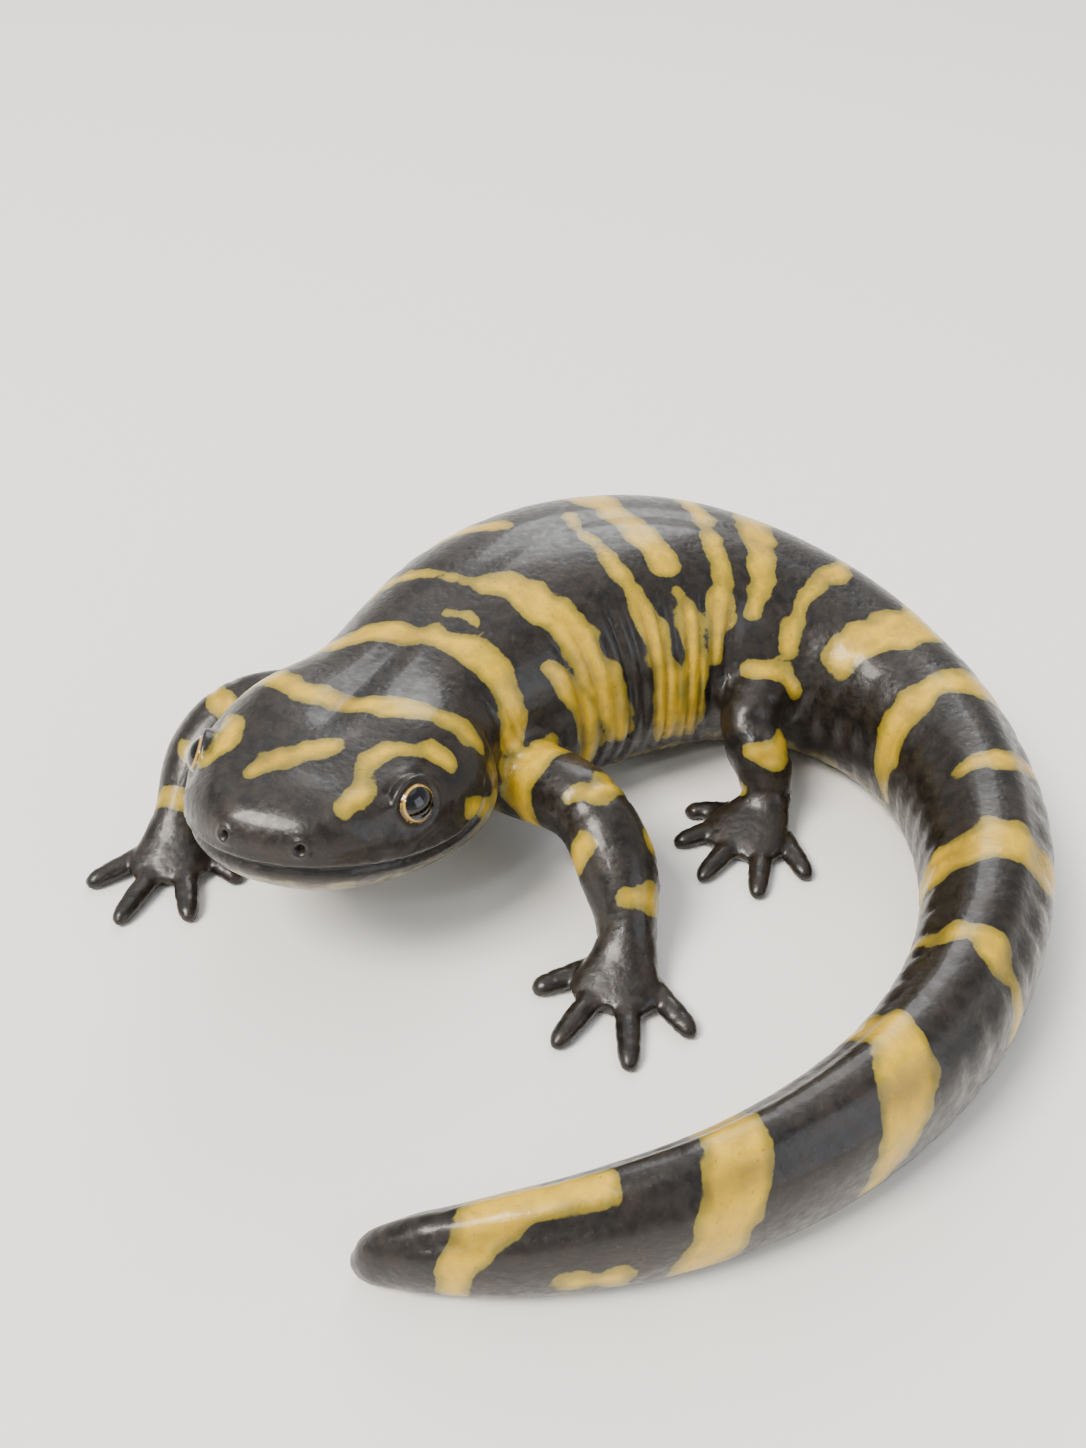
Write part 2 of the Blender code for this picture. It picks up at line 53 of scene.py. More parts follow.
# ------------------------------------------------------------ body, as in the solids
TOTAL_LENGTH = 245.2
SNOUT = (-32.442, -25.964)
HEADINGS = ((0, 76), (15, 70), (32, 61), (45, 53), (60, 38), (78, 12), (98, -25),
            (118, -61), (140, -91), (165, -116), (190, -141), (215, -164), (242, -187))
HEADING_BLEND = 10.0             # headings are averaged over this far each way
HEADING_SAMPLES = 21
# Station, half width, height above the axis, depth below it, height of the axis.
BODY_PROFILE = (
    (0.0, 0.0, 0.0, 0.0, 20.6),
    (0.3, 3.1, 1.9, 2.0, 20.6),
    (1.2, 6.2, 3.7, 3.9, 20.5),
    (3.0, 9.5, 5.3, 5.7, 20.3),
    (6.0, 12.7, 6.6, 7.3, 19.9),
    (9.5, 15.0, 7.6, 8.4, 19.4),
    (14.0, 16.7, 8.6, 9.6, 18.7),
    (19.0, 17.8, 9.6, 10.5, 18.0),
    (23.0, 18.0, 10.4, 10.9, 17.5),
    (27.0, 17.2, 11.0, 10.9, 17.0),
    (31.5, 15.5, 11.8, 11.0, 16.5),
    (36.0, 15.3, 12.8, 12.1, 16.1),
    (42.0, 16.7, 14.4, 13.8, 15.8),
    (50.0, 18.8, 16.6, 15.7, 15.6),
    (60.0, 20.4, 18.0, 16.3, 15.6),
    (72.0, 20.6, 18.1, 16.3, 15.5),
    (84.0, 19.1, 16.8, 15.8, 15.1),
    (93.0, 16.6, 15.1, 15.1, 14.4),
    (101.0, 14.4, 13.4, 14.2, 13.6),
    (110.0, 12.0, 12.1, 12.9, 12.4),
    (118.0, 10.2, 11.2, 11.9, 11.4),
    (130.0, 8.8, 10.4, 11.0, 10.5),
    (150.0, 7.7, 9.5, 9.9, 9.4),
    (170.0, 6.7, 8.9, 8.9, 8.4),
    (190.0, 5.8, 8.3, 8.1, 7.7),
    (208.0, 5.1, 7.8, 7.2, 6.8),
    (222.0, 4.4, 7.0, 6.4, 6.0),
    (234.0, 3.5, 5.6, 5.0, 4.6),
    (241.2, 2.4, 3.9, 3.6, 3.2),
    (244.3, 1.3, 2.0, 2.1, 2.1),
    (245.2, 0.0, 0.0, 0.0, 1.6),
)
SQUARENESS = 2.3                 # of a section; 2 would be an ellipse
SNOUT_RINGS = (0.0, 0.12, 0.3, 0.6, 1.0, 1.5, 2.1, 2.8, 3.6, 4.5)
BODY_RING_SPACING = 0.9
TAIL_RINGS = (243.2, 244.0, 244.6, 245.0, 245.2)
BODY_SIDES = 96
SNOUT_FLAT = 1.5                 # in front of this station the snout is nearly flat

# Head features as station, distance out and height above the axis.
EYE_PLACE = (12.6, 12.5, 3.8)
EYE_RADIUS = 2.9
EYE_GAZE = (0.40, 0.80, 0.44)    # forwards, outwards, up
NOSTRIL_PLACE = (1.3, 4.4, 2.3)
# Station and height of the line of the mouth, which ends further back and up than in the solids.
MOUTH_LINE = ((0.0, -0.6), (6.0, -1.5), (12.0, -2.1), (17.0, -1.8), (20.5, -0.5), (22.5, 1.0),
              (24.5, 2.7))
MOUTH_CORNER = 23.1

# Costal grooves down each flank between the limbs.
FIRST_GROOVE = 50.1
GROOVE_SPACING = 3.8
GROOVE_COUNT = 12
# Soft folds down the sides of the tail.
TAIL_FOLD_START = 112.0
TAIL_FOLD_SPACING = 4.4
# Fold under the throat, and creases of the neck as station, depth and half width.
THROAT_FOLD = 31.6
NECK_CREASES = ((35.2, 0.32, 0.45), (37.9, 0.22, 0.40))

# ------------------------------------------------------------ limbs, as in the solids
# Girdle station, side, joints as forwards, outwards and height from the spine's foot there, and
# heading of the hand or foot in degrees outwards.
LIMBS = {
    "left_front": (38.5, 1, ((0.0, 7.0, 10.8), (0.0, 14.2, 11.5), (3.0, 27.9, 12.9),
                             (12.0, 38.3, 3.9)), 18.0),
    "right_front": (38.5, -1, ((0.0, 7.0, 11.0), (2.0, 13.8, 11.8), (11.0, 23.4, 12.8),
                               (25.2, 22.4, 3.9)), -30.0),
    "left_hind": (100.0, 1, ((0.0, 5.5, 11.3), (-0.6, 12.4, 12.9), (-1.2, 20.0, 13.5),
                             (-6.0, 23.8, 4.3)), 84.0),
    "right_hind": (100.0, -1, ((0.0, 5.5, 10.0), (0.5, 12.2, 10.2), (2.0, 19.6, 9.8),
                               (-4.0, 24.8, 4.3)), 62.0),
}
# Palm or sole: two more points of the limb's axis, ahead of the wrist or ankle, and height.
PALM = {"front": ((5.0, 1.9), (8.6, 1.1)), "hind": ((5.6, 2.0), (9.8, 1.1))}
# Half width and half height of a limb at all those points and half way between them.
LIMB_GIRTH = {
    "front": ((4.9, 5.2), (5.1, 5.4), (5.2, 5.6), (5.1, 5.3), (4.9, 4.8), (5.0, 4.8),
              (3.7, 3.3), (4.4, 2.5), (5.3, 2.0), (5.0, 1.5), (3.2, 0.8)),
    "hind": ((5.0, 5.4), (5.2, 5.6), (5.2, 5.5), (4.8, 4.7), (4.0, 3.7), (4.3, 4.1),
             (3.5, 3.2), (4.6, 2.4), (5.8, 2.0), (5.5, 1.5), (3.5, 0.8)),
}
LIMB_TURN = 4.2                  # sections turn gently, over this far each way along a limb
LIMB_SIDES = 36
LIMB_RING_SPACING = 0.8
LIMB_SAMPLES = 90                # places along a limb where its creases are looked for
# Creases across a limb: number of the joint, distance beyond it, depth, half width.
LIMB_CREASES = ((2, -1.0, 0.26, 0.50), (2, 1.1, 0.20, 0.45), (3, -0.6, 0.24, 0.45),
                (3, 0.9, 0.16, 0.40))
# Digits from the inner to the outer: degrees outwards from the hand's heading, and reach from
# the wrist or ankle to the tip.
DIGITS = {
    "front": ((-54.0, 12.0), (-19.0, 15.5), (14.0, 16.2), (48.0, 13.5)),
    "hind": ((-62.0, 10.8), (-32.0, 13.9), (-4.0, 16.2), (24.0, 16.3), (53.0, 13.2)),
}
DIGIT_ROOT = 3.6                 # digits start this far from the wrist, inside the palm
# Share of the length back from the tip, half width, half height, height of the axis: the tip is
# fuller and rounder than in the solids, and the digit widens gently to its root.
DIGIT_PROFILE = ((0.0, 0.0, 0.0, 0.7), (0.03, 0.72, 0.66, 0.76), (0.08, 1.10, 0.94, 0.86),
                 (0.16, 1.34, 1.12, 0.98), (0.28, 1.46, 1.20, 1.10), (0.42, 1.53, 1.24, 1.22),
                 (0.56, 1.54, 1.24, 1.33), (0.70, 1.63, 1.28, 1.45), (0.85, 1.70, 1.24, 1.5),
                 (1.0, 1.8, 1.2, 1.5))
DIGIT_SIDES = 30
DIGIT_RING_COUNT = 32
DIGIT_FREE = 0.2                 # creases lie beyond this share of a digit's length,
DIGIT_REACH = 1.9                # within this distance of its line
KNUCKLES = (0.46, 0.72)          # and at these shares of its length
KNUCKLE_DEPTH = 0.07
KNUCKLE_WIDTH = 0.3

# ------------------------------------------------------------ fineness of the skin
SKIN_VOXEL = 0.88
DIGIT_GROW = 1.2                 # the remesh's digits are drawn this far out to their true shape
DIGIT_SHRINK = 0.6               # and this far in
PALM_MIDDLE = 2.0                # hands and feet lie round a point this far beyond the wrist,
PALM_MARGIN = 1.5                # within this much more than their longest digit's reach,
PALM_HEIGHT = 5.5                # and below this height
HEAD_END = 39.0                  # the finer skin of head and throat ends here
FLANK_SPAN = (48.5, 96.0)
FLANK_DEGREES = (38.0, 136.0)
ON_BODY = 1.3                    # points nearer than this are on the body, its surface being at 1
LID_RADIUS = 3.5
LID_OPENING = (57.0, 50.0, 52.0)    # degrees from its middle: to each corner, up and down
LID_SURROUND = 2.4               # skin this far round the lids is evened out
SOCKET_DEPTH = 1.25              # and in the opening it is drawn this far in, behind the eyeball
LIP_END = 2.0                    # the lips' own skin ends this far behind the mouth's corner
FINEST_LIPS = 1.25               # the finest skin reaches this far from the line of the mouth,
FINEST_LIDS = 0.9                # this far round the lids
FINEST_NOSTRILS = 1.8            # and this far from the middle of a nostril

# Smoothing passes over the skin, before the sculpting and after it.
EVEN_PASSES = 2                  # after the remesh, and where the skin was made finer
LIMB_PASSES = 4                  # away from hands and feet, against the remesh's steps
LID_PASSES = 16
LIP_PASSES = 8
LIP_REACH = 1.7
NORMAL_PASSES = 3                # relief follows normals that are averaged this many times
SCULPTED_LID_PASSES = 5
SCULPTED_LIP_PASSES = 6
SCULPTED_LIP_REACH = 1.0

SOLE_HEIGHT = 0.12               # skin below this height rests on the floor and has no relief
LIMB_STATIONS = (18.0, 160.0)    # skin off the body between these stations belongs to a limb
FULL_SHADE_DEPTH = 0.5                # relief this deep gets the full painted shade of a crease
PART_SIZE = 20000                # points are taken this many at a time, to spare memory


# ------------------------------------------------------------ curves along the body
def smooth_curve(table, places):
    """Values of a smooth curve through a table's rows at many places."""
    rows = np.array(table, dtype=float)
    stops = rows[:, 0]
    values = rows[:, 1:]
    slopes = np.gradient(values, stops, axis=0)
    places = np.clip(np.atleast_1d(np.asarray(places, dtype=float)), stops[0], stops[-1])
    index = np.clip(np.searchsorted(stops, places, side="right") - 1, 0, len(stops) - 2)
    span = (stops[index + 1] - stops[index])[:, None]
    t = (places - stops[index])[:, None] / span
    return ((2 * t**3 - 3 * t**2 + 1) * values[index]
            + (t**3 - 2 * t**2 + t) * span * slopes[index]
            + (3 * t**2 - 2 * t**3) * values[index + 1]
            + (t**3 - t**2) * span * slopes[index + 1])


def smooth_step(low, high, values):
    """0 below low, 1 above high, and a smooth rise between."""
    t = np.clip((np.asarray(values, dtype=float) - low) / (high - low), 0.0, 1.0)
    return t * t * (3.0 - 2.0 * t)


def window(rise, fall, values):
    """Rises from 0 to 1 over one span of values and falls back to 0 over another."""
    return smooth_step(*rise, values) * (1.0 - smooth_step(*fall, values))


def hump(distance, reach):
    """A bell that is 1 at no distance and near 0 at twice its reach."""
    return np.exp(-(np.asarray(distance, dtype=float) / reach) ** 2)


def rooted(table):
    """A table over the root of its first column, so that the curve through it starts round."""
    return [(math.sqrt(row[0]),) + row[1:] for row in table]


def distances(points, place):
    """Distance of each point from one place."""
    return np.linalg.norm(points - np.array(place), axis=1)


def parts(count):
    """Slices that together take this many points."""
    return [slice(start, start + PART_SIZE) for start in range(0, count, PART_SIZE)]


SPINE_STEP = 0.5
STATIONS = np.arange(0.0, TOTAL_LENGTH + SPINE_STEP, SPINE_STEP)


def headings(stations):
    """Headings in radians, averaged so that the spine has no corners."""
    spread = np.linspace(-HEADING_BLEND, HEADING_BLEND, HEADING_SAMPLES)
    stops, degrees = zip(*HEADINGS)
    around = np.asarray(stations)[:, None] + spread[None, :]
    return np.radians(np.interp(around, stops, degrees).mean(axis=1))


def walk_spine():
    """Plan position of each spine station, stepped along the heading from the snout."""
    middles = headings(STATIONS[:-1] + SPINE_STEP / 2)
    steps = np.stack((np.cos(middles), np.sin(middles)), axis=1) * SPINE_STEP
    return np.array(SNOUT) + np.concatenate((np.zeros((1, 2)), np.cumsum(steps, axis=0)))


def body_profile(stations):
    """Half width, height above the axis, depth below it and height of the axis."""
    return smooth_curve(rooted(BODY_PROFILE), np.sqrt(np.atleast_1d(stations)))


SPINE = walk_spine()
SPINE_HEADING = headings(STATIONS)
SPINE_PROFILE = body_profile(STATIONS)


def body_frames(stations):
    """Foot of the spine, forward and left directions, each a row for a station."""
    stations = np.atleast_1d(stations)
    foot = np.stack([np.interp(stations, STATIONS, SPINE[:, axis]) for axis in (0, 1)], axis=1)
    angle = np.interp(stations, STATIONS, SPINE_HEADING)
    zero = np.zeros_like(angle)
    foot = np.concatenate((foot, zero[:, None]), axis=1)
    forward = np.stack((-np.cos(angle), -np.sin(angle), zero), axis=1)
    left = np.stack((np.sin(angle), -np.cos(angle), zero), axis=1)
    return foot, forward, left


def skin_points(stations, degrees):
    """Points on the body's surface at stations and degrees from the middle of the back."""
    stations = np.atleast_1d(np.asarray(stations, dtype=float))
    turn = np.radians(np.atleast_1d(np.asarray(degrees, dtype=float)))
    foot, _, left = body_frames(stations)
    width, top, bottom, axis = body_profile(stations).T
    across = np.sin(turn)
    rise = np.cos(turn)
    size = (np.abs(across) ** SQUARENESS + np.abs(rise) ** SQUARENESS) ** (1.0 / SQUARENESS)
    lift = np.where(rise > 0.0, top, bottom)
    points = foot + left * (width * across / size)[:, None]
    points[:, 2] = np.maximum(axis + lift * rise / size, 0.0)
    return points


def place_on_body(station, out, height, side):
    """A point beside the spine's axis, out to one side of it and up from it."""
    foot, _, left = body_frames(station)
    axis = body_profile(station)[0, 3]
    return Vector(foot[0] + left[0] * side * out + np.array((0.0, 0.0, axis + height)))


class Places:
    """Where many points lie on the body: station, distance to the left, height, degrees."""

    def __init__(self, points):
        nearest = np.empty(len(points), dtype=int)
        for part in parts(len(points)):
            away = points[part, None, :2] - SPINE[None, :, :]
            nearest[part] = np.argmin((away ** 2).sum(axis=2), axis=1)
        foot, forward, _ = body_frames(STATIONS[nearest])
        back = -((points - foot) * forward).sum(axis=1)
        self.station = np.clip(STATIONS[nearest] + np.clip(back, -1.0, 1.0), 0.0, TOTAL_LENGTH)
        foot, _, left = body_frames(self.station)
        broad = np.maximum(self.station, SNOUT_FLAT)
        width, top, bottom = [np.interp(broad, STATIONS, column) for column in SPINE_PROFILE.T[:3]]
        self.out = ((points - foot) * left).sum(axis=1)
        self.height = points[:, 2] - np.interp(self.station, STATIONS, SPINE_PROFILE[:, 3])
        across = self.out / np.maximum(width, 0.1)
        rise = self.height / np.maximum(np.where(self.height > 0.0, top, bottom), 0.1)
        self.degrees = np.degrees(np.arctan2(across, rise))
        # 1 on the body's own surface, less inside it and more outside it
        self.depth = (np.abs(across) ** SQUARENESS
                      + np.abs(rise) ** SQUARENESS) ** (1.0 / SQUARENESS)


# ------------------------------------------------------------ limbs
class Limb:
    """Path, girths and digits of one limb."""

    def __init__(self, name):
        station, side, joints, turn = LIMBS[name]
        self.kind = name.split("_")[1]
        foot, forward, left = (row[0] for row in body_frames(station))
        out = left * side
        points = [foot + forward * ahead + out * away + np.array((0.0, 0.0, height))
                  for ahead, away, height in joints]
        angle = math.radians(turn)
        self.pointing = forward * math.cos(angle) + out * math.sin(angle)
        self.across = out * math.cos(angle) - forward * math.sin(angle)
        self.wrist = points[3]
        for reach, height in PALM[self.kind]:
            point = self.wrist + self.pointing * reach
            point[2] = height
            points.append(point)
        lengths = [np.linalg.norm(after - before) for before, after in zip(points, points[1:])]
        places = np.concatenate(([0.0], np.cumsum(lengths)))
        self.stops = places
        self.path = [(place, *point) for place, point in zip(places, points)]
        spread = [places[0]]
        for before, after in zip(places, places[1:]):
            spread += [(before + after) / 2, after]
        self.girth = [(place, *size) for place, size in zip(spread, LIMB_GIRTH[self.kind])]
        self.length = places[-1]

    def frames(self, places):
        """Centre, side and up directions and half sizes at places along the limb."""
        centre = smooth_curve(self.path, places)
        ahead = smooth_curve(self.path, np.minimum(places + LIMB_TURN, self.length))
        behind = smooth_curve(self.path, np.maximum(places - LIMB_TURN, 0.0))
        along = ahead - behind
        along /= np.linalg.norm(along, axis=1)[:, None]
        side = np.cross(along, (0.0, 0.0, 1.0))
        side /= np.linalg.norm(side, axis=1)[:, None]
        up = np.cross(side, along)
        return centre, side, up, smooth_curve(self.girth, places)

    def rings(self):
        """Sections of the whole limb, from inside the trunk to the end of the palm."""
        places = np.linspace(0.0, self.length, round(self.length / LIMB_RING_SPACING) + 1)
        centre, side, up, size = self.frames(places)
        turn = np.linspace(0.0, 2.0 * math.pi, LIMB_SIDES + 1)
        rings = (centre[:, None, :]
                 + side[:, None, :] * (size[:, 0, None] * np.cos(turn))[:, :, None]
                 + up[:, None, :] * (size[:, 1, None] * np.sin(turn))[:, :, None])
        rings[:, :, 2] = np.maximum(rings[:, :, 2], 0.0)
        return rings

    def skin_points(self, places, degrees):
        """Points on the limb's surface, at degrees from its upper side towards its outer one."""
        centre, side, up, size = self.frames(places)
        turn = np.radians(degrees)
        return (centre + side * (size[:, 0] * np.sin(turn))[:, None]
                + up * (size[:, 1] * np.cos(turn))[:, None])

    def digit_lines(self):
        """Root, direction and length of each digit, from the inner to the outer."""
        floor_wrist = self.wrist * np.array((1.0, 1.0, 0.0))
        lines = []
        for fan, reach in DIGITS[self.kind]:
            lean = math.radians(fan)
            direction = self.pointing * math.cos(lean) + self.across * math.sin(lean)
            lines.append((floor_wrist + direction * DIGIT_ROOT, direction, reach - DIGIT_ROOT))
        return lines


def digit_rings(root, direction, length):
    """Sections of one digit, closed to a point at its tip."""
    roots = np.linspace(1.0, 0.0, DIGIT_RING_COUNT)
    shares = 1.0 - roots ** 2
    width, height, rise = smooth_curve(rooted(DIGIT_PROFILE), roots).T
    turn = np.linspace(0.0, 2.0 * math.pi, DIGIT_SIDES + 1)
    out = np.array((direction[1], -direction[0], 0.0))
    centre = root + direction * (length * shares)[:, None]
    rings = centre[:, None, :] + out * (width[:, None] * np.cos(turn))[:, :, None]
    rings[:, :, 2] = np.maximum(rise[:, None] + height[:, None] * np.sin(turn), 0.0)
    return rings


# ------------------------------------------------------------ mesh helpers
def add_tube(bm, rings):
    """A tube through rings of points.  A ring of no size closes it to a point, and the remesh
    closes its other ends."""
    last_ring = len(rings) - 1
    sides = rings.shape[1] - 1
    verts = bmesh.ops.create_grid(bm, x_segments=last_ring, y_segments=sides, size=1.0)["verts"]
    for vert in verts:
        ring = round((vert.co.x + 1.0) / 2.0 * last_ring)
        number = round((vert.co.y + 1.0) / 2.0 * sides)
        vert.co = rings[ring, number]
    bmesh.ops.remove_doubles(bm, verts=verts, dist=1e-4)


def finished_object(name, bm, material):
    """A mesh object at the origin, smooth and in metres, from a bmesh in millimetres."""
    bmesh.ops.scale(bm, vec=(MM, MM, MM), verts=bm.verts)
    mesh = bpy.data.meshes.new(name)
    bm.to_mesh(mesh)
    bm.free()
    mesh.shade_smooth()
    mesh.materials.append(material)
    obj = bpy.data.objects.new(name, mesh)
    bpy.context.scene.collection.objects.link(obj)
    return obj


def coordinates(bm):
    return np.array([vert.co[:] for vert in bm.verts])


def move_to(bm, points):
    for vert, point in zip(bm.verts, points):
        vert.co = point


def smooth(bm, times, chosen=None):
    """Smooth all vertices, or those whose flag is set."""
    verts = bm.verts
    if chosen is not None:
        verts = [vert for vert, flag in zip(bm.verts, chosen) if flag]
    for _ in range(times):
        bmesh.ops.smooth_vert(bm, verts=verts, factor=0.5, use_axis_x=True, use_axis_y=True,
                              use_axis_z=True)


# ------------------------------------------------------------ first form of the skin
def body_rings():
    middle = np.arange(SNOUT_RINGS[-1] + BODY_RING_SPACING, TAIL_RINGS[0], BODY_RING_SPACING)
    stations = np.concatenate((SNOUT_RINGS, middle, TAIL_RINGS))
    degrees = np.linspace(0.0, 360.0, BODY_SIDES + 1)
    points = skin_points(np.repeat(stations, len(degrees)), np.tile(degrees, len(stations)))
    return points.reshape(len(stations), len(degrees), 3)


def eye_axes(side):
    """Eye centre, and the directions along the lids, across them and out along the gaze."""
    centre = place_on_body(*EYE_PLACE, side)
    _, forward, left = (Vector(row[0]) for row in body_frames(EYE_PLACE[0]))
    gaze = forward * EYE_GAZE[0] + left * side * EYE_GAZE[1] + Vector((0.0, 0.0, EYE_GAZE[2]))
    gaze.normalize()
    along = (forward - gaze * forward.dot(gaze)).normalized()
    across = gaze.cross(along)
    if across.z < 0.0:
        across = -across
    return centre, along, across, gaze


def remesh(bm):
    """Turn the shapes in a bmesh to their one outer skin, in even small squares."""
    mesh = bpy.data.meshes.new("first_form")
    bm.to_mesh(mesh)
    obj = bpy.data.objects.new("first_form", mesh)
    bpy.context.scene.collection.objects.link(obj)
    modifier = obj.modifiers.new("join", "REMESH")
    modifier.mode = "VOXEL"
    modifier.voxel_size = SKIN_VOXEL
    evaluated = obj.evaluated_get(bpy.context.evaluated_depsgraph_get())
    bm.clear()
    bm.from_mesh(evaluated.to_mesh())
    evaluated.to_mesh_clear()
    bpy.data.objects.remove(obj)
    bpy.data.meshes.remove(mesh)


def refine(bm, area):
    """Split each edge of the faces that lie in an area, and even the area out."""
    for vert, flag in zip(bm.verts, area(coordinates(bm))):
        vert.tag = bool(flag)
    edges = [edge for edge in bm.edges
             if any(all(vert.tag for vert in face.verts) for face in edge.link_faces)]
    bmesh.ops.subdivide_edges(bm, edges=edges, cuts=1, use_grid_fill=True)
    smooth(bm, EVEN_PASSES, area(coordinates(bm)))


def mouth_offset(places):
    """Height above the line of the mouth."""
    return places.height - smooth_curve(MOUTH_LINE, places.station)[:, 0]


def near_palms(points, limbs):
    """Points on hands and feet, digits included."""
    near = np.zeros(len(points), dtype=bool)
    for limb in limbs.values():
        reach = max(length for _, length in DIGITS[limb.kind]) + PALM_MARGIN
        middle = limb.wrist + limb.pointing * PALM_MIDDLE
        near |= (distances(points, middle) < reach) & (points[:, 2] < PALM_HEIGHT)
    return near


def fine_areas(points, limbs):
    """Head, throat, flanks, hands and feet."""
    places = Places(points)
    turn = np.abs(places.degrees)
    on_body = places.depth < ON_BODY
    head = (places.station < HEAD_END) & on_body
    flank = ((places.station > FLANK_SPAN[0]) & (places.station < FLANK_SPAN[1])
             & (turn > FLANK_DEGREES[0]) & (turn < FLANK_DEGREES[1]) & on_body)
    return head | flank | near_palms(points, limbs)


def near_lips(points, reach):
    """Points within reach of the line of the mouth."""
    places = Places(points)
    near = (np.abs(mouth_offset(places)) < reach) & (places.station < MOUTH_CORNER + LIP_END)
    return near & (places.depth < ON_BODY)


def finest_areas(points):
    """Lids, nostrils and lips."""
    near = near_lips(points, FINEST_LIPS)
    for side in SIDES:
        near |= distances(points, place_on_body(*EYE_PLACE, side)) < LID_RADIUS + FINEST_LIDS
        near |= distances(points, place_on_body(*NOSTRIL_PLACE, side)) < FINEST_NOSTRILS
    return near


def draw_to(bm, surface, chosen):
    """Draw vertices straight in or out to the outermost surface of the first shapes."""
    bm.normal_update()
    for vert, flag in zip(bm.verts, chosen):
        if flag:
            place, normal, _, _ = surface.ray_cast(vert.co + vert.normal * DIGIT_GROW,
                                                   -vert.normal, DIGIT_GROW + DIGIT_SHRINK)
            if place is not None and normal.dot(vert.normal) > 0.0:
                vert.co = place


def first_form(limbs):
    """All flesh as one even skin, finer where the animal has small shapes."""
    bm = bmesh.new()
    add_tube(bm, body_rings())
    for limb in limbs.values():
        add_tube(bm, limb.rings())
        for line in limb.digit_lines():
            add_tube(bm, digit_rings(*line))
    for side in SIDES:
        bmesh.ops.create_uvsphere(bm, u_segments=48, v_segments=24, radius=LID_RADIUS,
                                  matrix=Matrix.Translation(eye_axes(side)[0]))
    bmesh.ops.recalc_face_normals(bm, faces=bm.faces)
    surface = BVHTree.FromBMesh(bm)
    remesh(bm)
    smooth(bm, EVEN_PASSES)
    smooth(bm, LIMB_PASSES, ~near_palms(coordinates(bm), limbs))
    refine(bm, lambda points: fine_areas(points, limbs))
    palms = near_palms(coordinates(bm), limbs)
    draw_to(bm, surface, palms)
    smooth(bm, EVEN_PASSES, palms)
    refine(bm, finest_areas)
    points = coordinates(bm)
    for side in SIDES:
        smooth(bm, LID_PASSES, distances(points, eye_axes(side)[0]) < LID_RADIUS + LID_SURROUND)
    smooth(bm, LIP_PASSES, near_lips(points, LIP_REACH))
    return bm


# ------------------------------------------------------------ sculpting
def even_normals(bm):
    """Normals averaged with their neighbours', so that relief doesn't pick up the mesh's grid."""
    bm.normal_update()
    bm.verts.index_update()
    normals = np.array([vert.normal[:] for vert in bm.verts])
    first, second = np.array([[vert.index for vert in edge.verts] for edge in bm.edges]).T
    for _ in range(NORMAL_PASSES):
        total = normals.copy()
        np.add.at(total, first, normals[second])
        np.add.at(total, second, normals[first])
        normals = total / np.linalg.norm(total, axis=1)[:, None]
    return normals


def head_relief(places):
    """Swellings and hollows of the head, in millimetres outwards."""
    station = places.station
    out = np.abs(places.out)
    height = places.height
    jaw_muscle = 0.9 * hump(np.hypot((station - 22.5) / 1.2, out - 10.0), 4.5)
    crown_furrow = 0.55 * hump(out, 2.2) * window((15.0, 21.0), (33.0, 42.0), station)
    hollow_between_eyes = 0.35 * hump(np.hypot(station - 10.0, (out - 4.0) * 0.7), 3.5)
    off_ridge = out - 8.2 - (station - 6.5) * 0.45
    ridge_to_nostril = 0.30 * hump(np.hypot((station - 6.5) * 0.55, off_ridge), 1.6)
    over_nostril = 0.25 * hump(np.hypot(station - 2.2, out - 4.3), 1.9)
    cheek = 0.55 * hump(np.hypot(station - 25.5, (height + 1.0) * 0.8), 3.6)
    on_top = jaw_muscle - crown_furrow - hollow_between_eyes + ridge_to_nostril
    return (on_top * smooth_step(0.0, 4.0, height) + over_nostril * smooth_step(0.0, 2.0, height)
            + cheek * smooth_step(9.0, 13.0, out))


def mouth_relief(places):
    """The slit of the mouth, the upper lip's edge over it and the lower jaw's rim."""
    offset = mouth_offset(places)
    slit = 0.80 * hump(offset, 0.46)
    upper_lip = 0.22 * hump(offset - 0.85, 0.55)
    jaw_rim = 0.12 * hump(offset + 1.5, 0.9)
    dimple = 0.40 * hump(np.hypot(places.station - MOUTH_CORNER, offset), 0.9)
    before_corner = 1.0 - smooth_step(MOUTH_CORNER - 1.6, MOUTH_CORNER + 0.4, places.station)
    return (upper_lip + jaw_rim - slit) * before_corner - dimple


def throat_relief(places):
    """The throat fold and the creases of the neck."""
    turn = np.abs(places.degrees)
    behind = places.station - THROAT_FOLD - 1.2 * np.cos(np.radians(turn) * 2.0)
    fold = 0.22 * hump(behind + 1.6, 1.2) - 0.62 * hump(behind, 0.62)
    relief = fold * smooth_step(52.0, 84.0, turn)
    on_side = window((40.0, 66.0), (128.0, 150.0), turn)
    lean = 0.03 * (turn - 90.0)
    for station, depth, half_width in NECK_CREASES:
        relief -= depth * hump(places.station - station - lean, half_width) * on_side
    return relief


